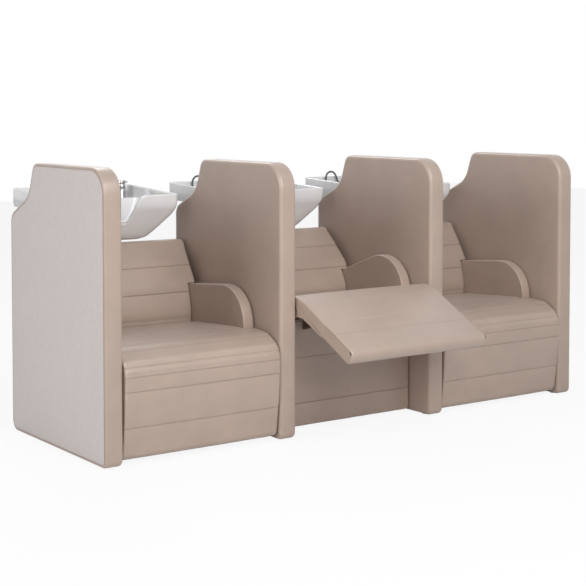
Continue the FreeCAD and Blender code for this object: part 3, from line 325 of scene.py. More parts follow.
def woven(name, colour):
    """A plain weave: two crossed waves, slubs along both threads and a mottled tone."""
    material, tree, place = new_material(name, {
        "Roughness": 0.88, "Specular IOR Level": 0.2, "Sheen Weight": 0.25, "Sheen Roughness": 0.6})
    along = ((40.0, 40.0, 520.0), (40.0, 520.0, 40.0))
    slubs = calc(tree, "ADD", *(noise(tree, place, 1.0, 3.0, 0.6, stretch) for stretch in along))
    fleck = tones(tree, slubs, toned(colour, 0.93), toned(colour, 1.05), 0.78, 1.22)
    mottle = tones(tree, noise(tree, place, 26.0, 5.0, 0.65), (0.97, 0.97, 0.97, 1), (1, 1, 1, 1))
    waves = [add_node(tree, "ShaderNodeTexWave", {"Vector": place, "Scale": 170.0, "Distortion": 0.6},
                      bands_direction=axis).outputs["Fac"] for axis in ("Y", "Z")]
    return finished(material, mixed(tree, 1.0, fleck, mottle, "MULTIPLY"), None,
                    [(slubs, 0.2, 0.0006), (calc(tree, "MULTIPLY", *waves), 0.5, 0.0006)])


LEATHER = leather("taupe leather", TAUPE)
PIPING = leather("piping leather", toned(TAUPE, 0.8))
END_CLOTH = woven("grey beige cloth", CLOTH)


# %% Ceramic, metals, plastics and boards
def coated(name, tint, rough, peel, values):
    """An even finish: tint and rough are (low, high, noise), peel is (noise, strength, metres)."""
    material, tree, place = new_material(name, values)
    return finished(material, tones(tree, noise(tree, place, *tint[2]), *tint[:2]),
                    spread(tree, noise(tree, place, *rough[2]), *rough[:2]),
                    [(noise(tree, place, *peel[0]), *peel[1:])])


def painted(name, colour, rough_low, rough_high, peel_scale, peel):
    """Painted or moulded surfaces: an even colour with a slight texture and finger-marked gloss."""
    return coated(name, (toned(colour, 0.88), toned(colour, 1.12), (18.0, 4.0)),
                  (rough_low, rough_high, (45.0, 4.0)), ((peel_scale, 2.0), peel, 0.0004),
                  {"Specular IOR Level": 0.45})


SMEAR, FIBRE = (60.0, 4.0, 0.6, (1.0, 1.0, 0.25)), (3.0, 6.0, 0.6, (1.0, 30.0, 30.0))
CERAMIC = coated("white glaze", (linear(226, 226, 227), linear(233, 233, 234), (4.0,)), (0.07, 0.12, (30.0,)),
                 ((12.0, 1.0), 0.05, 0.003),
                 {"Coat Weight": 0.5, "Coat Roughness": 0.03, "Specular IOR Level": 0.5})
CHROME = coated("chrome", (linear(150, 152, 155), linear(180, 182, 184), (35.0,)), (0.06, 0.17, SMEAR),
                ((300.0, 2.0), 0.02, 0.0003), {"Metallic": 1.0})
LAMINATE = coated("dark laminate", (linear(92, 82, 76), linear(112, 101, 94), FIBRE), (0.38, 0.5, (40.0,)),
                  (FIBRE, 0.15, 0.0004), {"Specular IOR Level": 0.35})
POWDER = painted("black powder coat", linear(52, 52, 54), 0.42, 0.56, 900.0, 0.22)
GLOSS_BLACK = painted("gloss black plastic", linear(24, 24, 26), 0.14, 0.24, 400.0, 0.03)
HOSE = painted("grey hose", linear(82, 83, 86), 0.28, 0.4, 700.0, 0.08)
RUBBER = painted("black moulded plastic", linear(34, 34, 35), 0.55, 0.7, 700.0, 0.15)
FRAME_COAT = painted("taupe powder coat", linear(112, 100, 93), 0.45, 0.6, 900.0, 0.2)
THREAD = painted("sewing thread", toned(TAUPE, 0.80), 0.7, 0.85, 1500.0, 0.4)
print("materials", len(bpy.data.materials))

# %% [markdown]
# ## CAD pieces that keep their shape
# Steel, boards, rams and wastes have the right shape already, so they only get their finish.

# %% Finishes on CAD nodes
def dress(mesh, material):
    mesh.materials.clear()
    mesh.materials.append(material)


CAD_FINISH = {"base_frame": FRAME_COAT, "actuators": POWDER, "back_hinge_bars": CHROME,
              "basin_stands": POWDER, "rear_covers": LAMINATE, "floor_glides": RUBBER}
BED_FINISH = {"carriage": FRAME_COAT, "seat_frame": FRAME_COAT, "footrest_frame": FRAME_COAT,
              "back_board": LAMINATE, "basin_cradle": POWDER, "waste": CHROME}
CAD_FINISH.update({f"{name}_{bed}": material for bed in BEDS for name, material in BED_FINISH.items()})
for name, material in CAD_FINISH.items():
    dress(nodes[name].data, material)

# %% [markdown]
# ## Outlines
# Panels, armrests and cushions all start as a side outline: corners with a radius each, as an upholsterer
# would draw them on a board. `outline` walks along it and keeps a point wherever it has gone or turned far
# enough, and crowds points round each sewn seam, so that a seam can be a sharp valley in a smooth skin.


# %% Outline walker
def rounded(corners, grain=0.5):
    """Closely spaced points round a polygon of (y, z, radius) corners, joined by tangent arcs."""
    arcs = []
    for i, (_, _, radius) in enumerate(corners):
        before, here, after = (np.array(corners[k % len(corners)][:2], float) for k in (i - 1, i, i + 1))
        if radius == 0:
            arcs.append([here])
            continue
        into = (before - here) / norm(before - here)
        out = (after - here) / norm(after - here)
        half = acos(np.clip(into @ out, -1, 1)) / 2
        reach, sweep = radius / tan(half), pi - 2 * half
        middle = here + (into + out) / norm(into + out) * radius / sin(half)
        start, end = here + into * reach - middle, here + out * reach - middle
        arcs.append([middle + start * (sin(sweep * (1 - t)) / sin(sweep))
                     + end * (sin(sweep * t) / sin(sweep))
                     for t in np.linspace(0, 1, max(2, int(radius * sweep / grain)))])
    loop = []
    for arc, following in zip(arcs, arcs[1:] + arcs[:1]):
        last, first = arc[-1], following[0]
        pieces = int(norm(first - last) / grain)
        loop += arc + [last + (first - last) * k / pieces for k in range(1, pieces)]
    return np.array(loop)


SHARP = radians(38)
CROWD = (0, 0.8, 1.6, 2.6, 4, 6.5, 10, 16)


def outline(corners, step=14.0, bend=9.0, seams=(), sharp=()):
    """Chosen points round the rounded polygon, their inward normals and each one's distance from every seam.

    A seam is a spot (y, z) near the line, with points crowded round it. A sharp spot gets two points."""
    dense = rounded(corners)
    ahead = np.roll(dense, -1, 0) - dense
    lengths = norm(ahead, axis=1)
    apart = lengths > 1e-6
    dense, ahead, lengths = dense[apart], ahead[apart], lengths[apart]
    along = np.concatenate([[0], np.cumsum(lengths)[:-1]])
    total = lengths.sum()
    heading = np.unwrap(np.arctan2(ahead[:, 1], ahead[:, 0]))

    def away(spot):
        return np.abs((along - spot + total / 2) % total - total / 2)

    keep, travelled, turned_by = {0}, 0.0, 0.0
    for i in range(1, len(dense)):
        travelled += lengths[i - 1]
        turned_by += abs(heading[i] - heading[i - 1])
        if travelled >= step or turned_by >= radians(bend):
            keep.add(i)
            travelled, turned_by = 0.0, 0.0
    at_seams = []
    for spots, offsets in ((seams, CROWD), (sharp, (0.4,))):
        for spot in spots:
            nearest = int(np.argmin(norm(dense - np.array(spot), axis=1)))
            if spots is seams:
                at_seams.append(along[nearest])
            clear = away(along[nearest]) > max(offsets) + 1
            keep = {k for k in keep if clear[k]}
            for target in (along[nearest] + sign * offset for offset in offsets for sign in (-1, 1)):
                keep.add(int(np.argmin(np.abs(along - target % total))))
    keep = sorted(keep)
    tangent = ahead / lengths[:, None]
    tangent = (tangent + np.roll(tangent, 1, 0))[keep]
    tangent /= norm(tangent, axis=1)[:, None]
    area = np.sum(dense[:, 0] * np.roll(dense[:, 1], -1) - dense[:, 1] * np.roll(dense[:, 0], -1))
    inward = np.stack([-tangent[:, 1], tangent[:, 0]], 1) * (1 if area > 0 else -1)
    from_seam = np.array([away(spot)[keep] for spot in at_seams])
    return dense[keep], inward, from_seam.reshape(len(at_seams), len(keep))


# %% [markdown]
# ## From rings to a skin
# A ring is one closed line of points. `skin` joins rings of equal length into a closed mesh, and `show` makes
# the object, gives it its finish, hangs it on its body and hides the CAD node it stands for.


# %% Mesh helpers
def skin(name, rings, loop=False, seam=None):
    """A closed mesh over rings of equal length; seam, the painted crease shade, is a value from 0 to 1 at
    each point.
    """
    rings = np.asarray(rings, float)
    count, size, _ = rings.shape
    faces = []
    for i in range(count if loop else count - 1):
        a, b = i * size, (i + 1) % count * size
        faces += [(a + j, a + (j + 1) % size, b + (j + 1) % size, b + j) for j in range(size)]
    if not loop:
        faces += [tuple(range(size))[::-1], tuple(range((count - 1) * size, count * size))]
    mesh = bpy.data.meshes.new(name)
    mesh.from_pydata(rings.reshape(-1, 3).tolist(), [], faces)
    # The seam attribute carries the painted crease shade to the leather shader.
    if seam is not None:
        mesh.attributes.new("seam", "FLOAT", "POINT").data.foreach_set("value", np.ravel(seam))
    return tidy(mesh)


def tidy(mesh):
    """Merges doubled points, turns the faces outwards and smooths all but sharp edges."""
    work = bmesh.new()
    work.from_mesh(mesh)
    bmesh.ops.remove_doubles(work, verts=work.verts, dist=1e-6)
    bmesh.ops.recalc_face_normals(work, faces=work.faces)
    work.to_mesh(mesh)
    work.free()
    mesh.shade_smooth()
    mesh.set_sharp_from_angle(angle=SHARP)
    return mesh


def joined(name, meshes):
    """Several meshes as one."""
    work = bmesh.new()
    for mesh in meshes:
        work.from_mesh(mesh)
    made = bpy.data.meshes.new(name)
    work.to_mesh(made)
    work.free()
    return tidy(made)


def moved(mesh, matrix):
    mesh = mesh.copy()
    if matrix is not None:
        mesh.transform(matrix)
    return mesh


def show(name, mesh, material, body, node=None, matrix=None):
    """A copy of the mesh as an object at the origin, riding on its body."""
    mesh = moved(mesh, matrix)
    dress(mesh, material)
    piece = placed(name, mesh)
    if body:
        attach(piece, body)
    if node:
        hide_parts(node)
    return piece


def padded(name, mesh, body, node=None, matrix=None):
    """The same for padding under leather."""
    piece = show(name, mesh, LEATHER, body, node, matrix)
    return piece


# %% [markdown]
# ## Details that repeat
# Stitches, hose ribs, the welt, screws and spray nozzles follow a line or a set of spots, so Geometry Nodes
# make them. Each tree takes its sizes as named inputs and ends in plain geometry with its own finish.


# %% Geometry Nodes trees
def grow_tree(name, sizes, build):
    """A tree with the given size inputs; build(tree, inputs) returns its geometry."""
    tree = bpy.data.node_groups.new(name, "GeometryNodeTree")
    kinds = {"Geometry": "Geometry", **dict.fromkeys(sizes, "Float"), "Finish": "Material"}
    if "Axis" in sizes:
        kinds["Axis"] = "Vector"
    for label, kind in kinds.items():
        tree.interface.new_socket(label, in_out="INPUT", socket_type="NodeSocket" + kind)
    tree.interface.new_socket("Geometry", in_out="OUTPUT", socket_type="NodeSocketGeometry")
    given = tree.nodes.new("NodeGroupInput").outputs
    last = result(tree, "GeometryNodeRealizeInstances", {0: build(tree, given)})
    last = result(tree, "GeometryNodeSetShadeSmooth", {"Geometry": last})
    last = result(tree, "GeometryNodeSetMaterial", {"Geometry": last, "Material": given["Finish"]})
    add_node(tree, "NodeGroupOutput", {0: last})
    return tree


def given_line(tree, given):
    return result(tree, "GeometryNodeMeshToCurve", {"Mesh": given["Geometry"]})


def tube(tree, line, resolution, radius, **more):
    """A round tube along a curve."""
    profile = circle(tree, resolution, radius)
    return result(tree, "GeometryNodeCurveToMesh", {"Curve": line, "Profile Curve": profile, **more})


def circle(tree, resolution, radius):
    return result(tree, "GeometryNodeCurvePrimitiveCircle", {"Resolution": resolution, "Radius": radius})


def repeated(tree, spots, shape, turn, **more):
    """The shape on every spot; more are further inputs, such as Scale."""
    inputs = {"Points": spots, "Instance": shape, "Rotation": turn, **more}
    return result(tree, "GeometryNodeInstanceOnPoints", inputs)


def aligned(tree, direction):
    """The turn that lays Z along the direction."""
    return result(tree, "FunctionNodeAlignRotationToVector", {"Vector": direction}, axis="Z")


def spots_along(tree, given):
    """Points along the given lines, Spacing apart, and the turn that lays Z along the line."""
    inputs = {"Curve": given_line(tree, given), "Length": given["Spacing"]}
    spots = result(tree, "GeometryNodeResampleCurve", inputs, mode="LENGTH")
    return spots, aligned(tree, result(tree, "GeometryNodeInputTangent"))


def build_stitches(tree, given):
    spots, turn = spots_along(tree, given)
    bead = result(tree, "GeometryNodeMeshUVSphere", {"Segments": 6, "Rings": 5, "Radius": 1.0})
    size = {0: given["Radius"], 1: given["Radius"], 2: given["Half Length"]}
    return repeated(tree, spots, bead, turn, Scale=result(tree, "ShaderNodeCombineXYZ", size))


def build_rings(tree, given):
    spots, turn = spots_along(tree, given)
    return repeated(tree, spots, tube(tree, circle(tree, 14, given["Reach"]), 6, given["Radius"]), turn)


def build_tubes(tree, given):
    return tube(tree, given_line(tree, given), 10, given["Radius"], **{"Fill Caps": True})


def build_studs(tree, given):
    """Low cones on every given point, standing along Axis."""
    inputs = {"Vertices": 14, "Radius Top": calc(tree, "MULTIPLY", given["Radius"], 0.7),
              "Radius Bottom": given["Radius"], "Depth": given["Height"]}
    stud = result(tree, "GeometryNodeMeshCone", inputs)
    return repeated(tree, given["Geometry"], stud, aligned(tree, given["Axis"]))


STITCHES = grow_tree("stitches", ("Spacing", "Half Length", "Radius"), build_stitches)
RINGS = grow_tree("rings", ("Spacing", "Reach", "Radius"), build_rings)
TUBES = grow_tree("tubes", ("Radius",), build_tubes)
STUDS = grow_tree("studs", ("Axis", "Radius", "Height"), build_studs)


def grown(name, lines, tree, sizes, finish, closed=False, spots=False):
    """What a tree makes of lines of points in metres, as a plain mesh."""
    points, edges = [], []
    for line in lines:
        first, last = len(points), len(points) + len(line) - 1
        points += [tuple(p) for p in line]
        edges += [] if spots else [(k, k + 1) for k in range(first, last)]
        edges += [(last, first)] if closed else []
    path_mesh = bpy.data.meshes.new(name)
    path_mesh.from_pydata(points, edges, [])
    carrier = placed(name + "_path", path_mesh)
    modifier = carrier.modifiers.new("grow", "NODES")
    modifier.node_group = tree
    for item in tree.interface.items_tree:
        if item.in_out == "INPUT" and item.name != "Geometry":
            modifier[item.identifier] = finish if item.name == "Finish" else sizes[item.name]
    evaluated = carrier.evaluated_get(bpy.context.evaluated_depsgraph_get())
    made = bpy.data.meshes.new_from_object(evaluated)
    bpy.data.objects.remove(carrier)
    return made


# %% [markdown]
# ## Boards in leather: panels and armrests
# A covered board is its outline, drawn in at both faces along a quarter circle for the foam under the edge,
# with a face that swells a little towards its middle.


# %% Covered boards
def covered_board(name, corners, x_low, x_high, edge_low, edge_high, crown, step=22.0, inset=0.0):
    """Rings from one face to the other; edge_low and edge_high are the radii of the soft edges.

    A board with a fine step, as an armrest, stays tight at its foot."""
    points, inward, _ = outline(corners, step, 6.0)
    points = points + inward * inset
    middle = points.mean(0)
    tight = np.clip((points[:, 1] - points[:, 1].min()) / 17, 0, 1)[:, None] if step < 20 else 1

    def face(x, sign, edge):
        rim = points + inward * edge * tight
        swell = crown if edge else 0
        return [(middle + (rim - middle) * share, x + sign * swell * (1 - share ** 2))
                for share in (0.04, 0.3, 0.55, 0.75, 0.9, 0.97)]

    def edge_arc(x, sign, edge):
        angles = np.radians(np.linspace(0, 90, 8)) if edge else (0,)
        return [(points + inward * edge * tight * (1 - sin(a)), x - sign * edge * (1 - cos(a)))
                for a in angles]

    profile = face(x_low, -1, edge_low) + edge_arc(x_low, -1, edge_low)
    profile += edge_arc(x_high, 1, edge_high)[::-1] + face(x_high, 1, edge_high)[::-1]
    return skin(name, metres([[(x, y, z) for y, z in ring] for ring, x in profile]))


PANEL = ((0, 5, 26), (847, 5, 45), (847, 926, 55), (672, 1009, 120), (622, 1150, 45), (0, 1150, 108))
WIDE = 3 * PITCH + PANEL_T
row = Matrix.Translation((LEFT, 0, 0))
for name, low, high, edges, node in (
        ("left_panel_cover", 2.5, 80, (6, 15), "left_end_panel"),
        ("right_panel_cover", WIDE - 80, WIDE - 2.5, (15, 6), "right_end_panel"),
        ("partition_cover_1", PITCH, PITCH + 80, (15, 15), "partition_1"),
        ("partition_cover_2", 2 * PITCH, 2 * PITCH + 80, (15, 15), "partition_2")):
    padded(name, covered_board(name, PANEL, low, high, *edges, 2.0), "root", node, row)

CLOTH_LOW, CLOTH_HIGH, CLOTH_INSET, CLOTH_EDGE, CLOTH_CROWN = 0.6, 4.0, 12.0, 2.2, 0.4
cloths = [covered_board("cloth", PANEL, *place, CLOTH_CROWN, inset=CLOTH_INSET)
          for place in ((CLOTH_LOW, CLOTH_HIGH, CLOTH_EDGE, 0),
                        (WIDE - CLOTH_HIGH, WIDE - CLOTH_LOW, 0, CLOTH_EDGE))]
cloth_mesh = joined("end_cloths", cloths)
show("end_cloths", cloth_mesh, END_CLOTH, "root", "end_fabrics", row)
WELT_X, WELT_OUT, WELT_RADIUS = 1.9, 1.2, 0.0016
welt_line, welt_in, _ = outline(PANEL, 12.0, 5.0)
welt_line = welt_line + welt_in * (CLOTH_INSET - WELT_OUT)
welts = [metres([(x, y, z) for y, z in welt_line]) for x in (WELT_X, WIDE - WELT_X)]
welt_mesh = grown("welts", welts, TUBES, {"Radius": WELT_RADIUS}, PIPING, closed=True)
show("welts", welt_mesh, PIPING, "root", None, row)

# %% [markdown]
# ## Cushions
# A cushion starts as its side outline, too. Stations run from one side to the other, close together at the
# sides, where the outline draws in along a curve as the cover is pulled round the foam. A sewn channel is a
# sharp valley with soft shoulders, so the leather swells between two channels. The side that lies on a board
# stays flat: each point has a weight from 0 to 1 for how soft it is.


# %% Cushion maker
SIDE_STEPS = (0, 0.5, 1.8, 4, 7.5, 12, 18, 26, 36, 46)
WIDE_PAD, ARM_EDGE = 310, (301.8, 302.8)


def smooth(value, start, end):
    t = np.clip((np.asarray(value, float) - start) / (end - start), 0, 1)
    return t * t * (3 - 2 * t)


def slack(points, size, height):
    """Small slow unevenness, as leather over foam has."""
    spots = points * 0.001 / size
    phase = spots @ np.array([[2.1, -1.3, 0.7], [0.9, 1.7, 2.3], [-1.9, 0.6, 1.1]])
    return height * np.sin(2 * np.pi * phase).prod(-1)


def valley(distance, depth):
    """How far a seam draws the leather in, at a distance from it."""
    return depth * (0.55 * np.exp(-distance / 1.5) + 0.45 * np.exp(-(distance / 15) ** 2))


# Painted shade in a seam's crease: how dark the leather is drawn at a distance from the seam.
def painted_crease_shade(distance, depth):
    return min(0.8, 0.25 + depth / 6) * np.exp(-(distance / 1.7) ** 2)


SEWN = {}


def cushion(name, corners, half, softness, roll, fall=0.0, seams=(), sharp=(), finish_point=None,
            width_at=None, edge_at=None):
    """A padded form of outline `corners`; seams are (y, z, depth); roll is (reach, height) at the sides."""
    points, inward, from_seam = outline(corners, 13.0, 5.0, [s[:2] for s in seams], sharp)
    weight = softness(points) if softness else np.ones(len(points))
    sewn, crease_shade = np.zeros(len(points)), np.zeros(len(points))
    # Each seam sinks the skin and paints shade into its crease, which the mesh keeps as its seam attribute.
    for distance, (_, _, depth) in zip(from_seam, seams):
        sewn += valley(distance, depth)
        crease_shade += painted_crease_shade(distance, depth)
    edge_share = edge_at(points) if edge_at else 1
    reach, height = roll
    steps = [s for s in SIDE_STEPS if s < reach] + [reach]
    inner = np.linspace(half - reach, -(half - reach), max(3, int(2 * (half - reach) / 32)))
    stations = list(inner) + [side * (half - s) for side in (-1, 1) for s in steps[:-1]]
    if half > WIDE_PAD:
        stations += [side * x for side in (-1, 1) for x in ARM_EDGE]
    rings = []
    for x in sorted(set(stations)):
        share = x / half
        width = width_at(points) if width_at else np.full(len(points), half)
        turn = np.clip(1 - width * (1 - abs(share)) / reach, 0, 1)
        rolled = height * edge_share * (1 - np.sqrt(1 - turn ** 2))
        inset = rolled + fall * share ** 2 + sewn * (1 - 0.55 * turn)
        ring = np.column_stack([share * width, points])
        ring[:, 1:] += inward * (inset * weight)[:, None]
        ring[:, 1:] += inward * (slack(ring, 0.16, 0.7) * weight)[:, None]
        rings.append(finish_point(ring, share) if finish_point else ring)
    body = [ring for ring in rings if abs(ring[:, 0]).max() < half - 7]
    drawn_in = np.column_stack([weight * 0, inward * (6 * weight)[:, None]])
    rings = [rings[0] + drawn_in, *rings, rings[-1] + drawn_in]
    beside = [int(np.argmin(abs(distance - 4) - 0.001 * inward[:, 1])) for distance in from_seam]
    SEWN[name] = [metres([ring[spot] for ring in body]) for spot in beside]
    return skin(name, metres(rings), seam=[crease_shade * 0] + [crease_shade] * (len(rings) - 2) + [crease_shade * 0])


# %% Seat cushion
def arc_spots(y, z, radius, angles):
    return [(*on_circle(y, z, radius, angle), 0) for angle in angles]


def seat_softness(points):
    hinge = norm(points - np.array(FOOT_HINGE), axis=1)
    low = smooth(points[:, 1], 353, 380)
    return np.where(points[:, 0] < 62, smooth(hinge, 34, 46) * smooth(points[:, 1], 384, 392), low)


ARM_INNER, ARM_FRONT, LEDGE_Z = 302.3, 180.4, 427.5


def arm_ledge(ring, share):
    """Lets the cushion in for the armrests."""
    under_arm = (abs(ring[:, 0]) > ARM_INNER) & (ring[:, 1] > ARM_FRONT)
    ring[under_arm, 2] = np.minimum(ring[under_arm, 2], LEDGE_Z)
    return ring


SEAT = [(586, 352, 6), (586, 436, 14), (230, 457, 500), (78, 447, 90), (12, 407, 24), (3.9, 384.9, 0)]
SEAT += arc_spots(*FOOT_HINGE, 32.1, range(123, -9, -11))
seat_seams = [(y, 455, 0.6) for y in (48, 112, 176, 240, 305, 370, 435, 500)]
seat_mesh = cushion("seat", SEAT, 360, seat_softness, (14, 6), 1, seat_seams, [(180.6, 455)], arm_ledge)

# %% Footrest pad
PIVOT = np.array(FOOT_HINGE)
PAD_LENGTH = hypot(27, 306)
DOWN = np.array([27.0, -306.0]) / PAD_LENGTH
OUT = np.array([DOWN[1], -DOWN[0]])
PAD_BOW = 5.0


def pad_to_bed(ring, share):
    """Bends the straight pad a little, crowns its front and hangs it from its hinge."""
    along, out = ring[:, 1].copy(), ring[:, 2].copy()
    out += PAD_BOW * np.sin(np.pi * np.clip(along / PAD_LENGTH, 0, 1))
    out += (3 * (1 - share ** 2) * smooth(along, 10, 70) + 2.6 * smooth(along, -2, 7)) * (out > 0)
    ring[:, 1:] = PIVOT + along[:, None] * DOWN + out[:, None] * OUT
    return ring


PAD = [(-31.6, -31, 30.9), (PAD_LENGTH + 31, -31, 30.3), (PAD_LENGTH + 31, 31, 30.3), (-31.6, 31.6, 30.9)]
pad_seams = [((357 - z) / -DOWN[1], 31, depth) for z, depth in ((348, 2.2), (291, 3.2), (150, 3.2))]
pad_mesh = cushion("footrest", PAD, 360, None, (10, 7), 0, pad_seams, finish_point=pad_to_bed)
raised_pad = cushion("raised_pad", PAD, 360, None, (12, 8), 0,
                     [(along, out, 0.5) for along, out, _ in pad_seams], finish_point=pad_to_bed)

# %% [markdown]
# On the raised bed the leather runs over the knee in one smooth sweep, from the seat's front onto the
# footrest. This knee piece is one fixed mesh in the raised pose: its rear lies on the seat, its front on the
# footrest.

# %% Knee of the raised bed
TURN_COS, TURN_SIN = cos(radians(FOOT_LIFT)), sin(radians(FOOT_LIFT))
OUTWARD = np.array([[TURN_COS, TURN_SIN], [-TURN_SIN, TURN_COS]])


def on_pad(along, out):
    """A spot on the raised footrest, in the seat's own frame."""
    return tuple(PIVOT + OUTWARD @ (along * DOWN + out * OUT))


KNEE = [(104, 445, 0), (96, 449.6, 0), (72, 447.8, 50), (14, 411, 50), (*on_pad(125, 41.9), 0),
        (*on_pad(136, 36), 0), (*on_pad(136, -27), 0), (*on_pad(125, -31.7), 0), (*on_pad(-10, -31.7), 0),
        (84, 351.2, 3), (98, 362, 0)]
knee_mesh = cushion("knee", KNEE, 360.7, None, (12, 7.5), 3)
knee_place = bed_matrix(RAISED_BED, "seat")
knee = padded(f"knee_{RAISED_BED}", knee_mesh, None, None, knee_place)
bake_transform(knee)

# %% Back cushion
BACK = [(606, 385, 5), (678.6, 385, 0), (678.6, 391.3, 0)]
BACK += arc_spots(*BACK_HINGE, 15.5, range(221, 89, -11))
BACK += [(819.8, 780, 0), (754, 784, 24), (678, 699, 160), (619, 597, 90), (588.5, 475, 200)]
BACK_TOP = np.array([808.0, 752.9])
BACK_REAR = np.array([0.9415, -0.3371])


def back_softness(points):
    return smooth((BACK_TOP - points) @ BACK_REAR, 2, 26)


SHOULDER, SHOULDER_R = 601.0, 8.0


def back_width(points):
    """Narrow between the armrests; above them wide, with a rounded underside, and widest at the top."""
    z = points[:, 1]
    below = np.clip(SHOULDER + SHOULDER_R - z, 0, None)
    under = SHOULDER_R - np.sqrt(np.clip(SHOULDER_R ** 2 - below ** 2, 0, None))
    return np.where(z < SHOULDER, 301, np.interp(z, (SHOULDER, 700, 740, 770), (338, 337, 343, 351)) - under)


back_seams = [(665, 677, 3.0), (609, 565, 3.0), (590, 459, 2.0), (590, 451, 2.0)]
back_steps = [(p, z) for z in (601, 603, 606, 609) for p in (622, 757)]
back_mesh = cushion("back", BACK, 360, back_softness, (12, 7), 0, back_seams, back_steps, width_at=back_width)

# %% [markdown]
# When the middle bed rises, its armrests move away from under the headrest's wide part, and the foam edge
# that they pressed in springs out again. It is a pair of small wings here, flush with the cushion, shaped
# for the raised pose and riding on the back. A leather apron on the base closes the front between base and
# seat.

# %% Wings and apron of the raised bed
WING_LOW = 552.0


def no_edge(points):
    return 1.0 - ((points[:, 1] > WING_LOW) & (points[:, 1] < SHOULDER + 4))


raised_back = cushion("raised_back", BACK, 360, back_softness, (12, 7), 0, back_seams,
                      back_steps + [(609, WING_LOW)], width_at=back_width, edge_at=no_edge)


def wing_mesh(name, side):
    dense = rounded(BACK)
    front = dense[(dense[:, 0] < 650) & (dense[:, 1] > WING_LOW) & (dense[:, 1] < SHOULDER + 2.5)][::8]
    front = front[np.argsort(front[:, 1])]
    loop = np.vstack([front, [(700, SHOULDER + 2.5), (700, WING_LOW - 2)]])
    _, seam_z, depth = back_seams[1]
    from_seam = abs(front[:, 1] - seam_z)
    # The seam's crease gets the same painted shade as the cushion's.
    crease_shade, sunk = np.append(painted_crease_shade(from_seam, depth), (0, 0)), valley(from_seam, depth)
    rings = []
    for x in (300.9, 308, 316, 324, 327, 330, 333, 335.5, 337, 337.8):
        turn = max(0, 1 - (338 - x) / 12)
        ring = np.column_stack([np.full(len(loop), side * x), loop])
        ring[:len(front), 1] += (7 * (1 - sqrt(1 - turn ** 2)) + sunk * (1 - 0.55 * turn)) * 0.95
        rings.append(ring)
    return skin(name, metres(rings), seam=[crease_shade] * len(rings))


raised_side = bed_matrix(RAISED_BED, "back")
for name, side in (("left", -1), ("right", 1)):
    wing = padded(f"back_wing_{name}", wing_mesh(name, side), f"back_{RAISED_BED}", None, raised_side)
    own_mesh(wing)
APRON_Y, APRON_T, APRON_LOW, APRON_HIGH = 143, 3.5, 309, 470
apron_corners = [(APRON_Y + y * APRON_T, z, 2)
                 for y, z in ((-1, APRON_LOW), (1, APRON_LOW), (1, APRON_HIGH), (-1, APRON_HIGH))]
apron_mesh = cushion("apron", apron_corners, 357, lambda p: np.zeros(len(p)), (10, 0))
apron_place = bed_matrix(RAISED_BED, "root")
apron = padded("front_apron", apron_mesh, "root", None, apron_place)
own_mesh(apron)

# %% Base front
FASCIA = [(138, 14, 7), (168, 14, 0), (168, 311, 0), (138, 311, 3)]
fascia_mesh = cushion("fascia", FASCIA, 362, lambda p: smooth(-p[:, 0], -160, -146), (10, 10), 0,
                      [(138, 112, 3.5)])

ARMREST = ((181, 428, 3), (637, 428, 3), (637, 597, 22), (181, 637, 160))
arm_meshes = {side: covered_board("arm_" + side, ARMREST, low, high, *edges, 1.0, 16.0)
              for side, low, high, edges in (("left", -360, -303, (17, 5)), ("right", 303, 360, (5, 17)))}

for bed in BEDS:
    raised = bed == RAISED_BED
    for name, mesh, part, fill in (
            ("seat_cushion", seat_mesh, "seat", 0.85),
            ("footrest_pad", raised_pad if raised else pad_mesh, "footrest", 0.85),
            ("back_cushion", raised_back if raised else back_mesh, "back", 0.8),
            ("arm_left", arm_meshes["left"], "seat", 0.9),
            ("arm_right", arm_meshes["right"], "seat", 0.9)):
        padded(f"{name}_soft_{bed}", mesh, f"{part}_{bed}", f"{name}_{bed}", bed_matrix(bed, part))
fronts = joined("base_fronts", [moved(fascia_mesh, bed_matrix(bed, "root")) for bed in BEDS])
padded("base_fronts", fronts, "root", "base_fascias")

# %% Stitches and screws
STITCH = {"Spacing": 0.0048, "Half Length": 0.0017, "Radius": 0.00042}
SCREW = {"Axis": (0, 1, 0), "Radius": 0.005, "Height": 0.0016}
SCREW_X, COVER_Y = 343, 845.4


def stitched(name, body, parts):
    """The top stitches of one body, beside each seam; parts are (cushion's name, its matrix)."""
    lines = [[tuple(matrix @ Vector(p)) for p in line] for key, matrix in parts for line in SEWN[key]]
    show(name, grown(name, lines, STITCHES, STITCH, THREAD), THREAD, body)


for bed in BEDS:
    raised = bed == RAISED_BED
    for part, key in (("seat", "seat"), ("footrest", "raised_pad" if raised else "footrest"),
                      ("back", "raised_back" if raised else "back")):
        stitched(f"stitches_{part}_{bed}", f"{part}_{bed}", [(key, bed_matrix(bed, part))])
stitched("stitches_base", "root", [("fascia", bed_matrix(bed, "root")) for bed in BEDS])
screw_spots = [carried(bed_matrix(bed, "root"), x, COVER_Y, z)
               for bed in BEDS for x in (-SCREW_X, SCREW_X) for z in (46, 258, 468, 678)]
screws = grown("cover_screws", [screw_spots], STUDS, SCREW, CHROME, spots=True)
show("cover_screws", screws, CHROME, "root")

# %% [markdown]
# ## The ceramic basin
# Slip-cast ceramic has one even wall with every edge rounded. The basin is one skin of columns: each starts
# under the bowl, climbs the outside, rolls over the rim, drops to the deck at the rear or straight into the
# bowl at the front, and ends in the drain. For the neck, the rim dips in a smooth U at the front's middle.


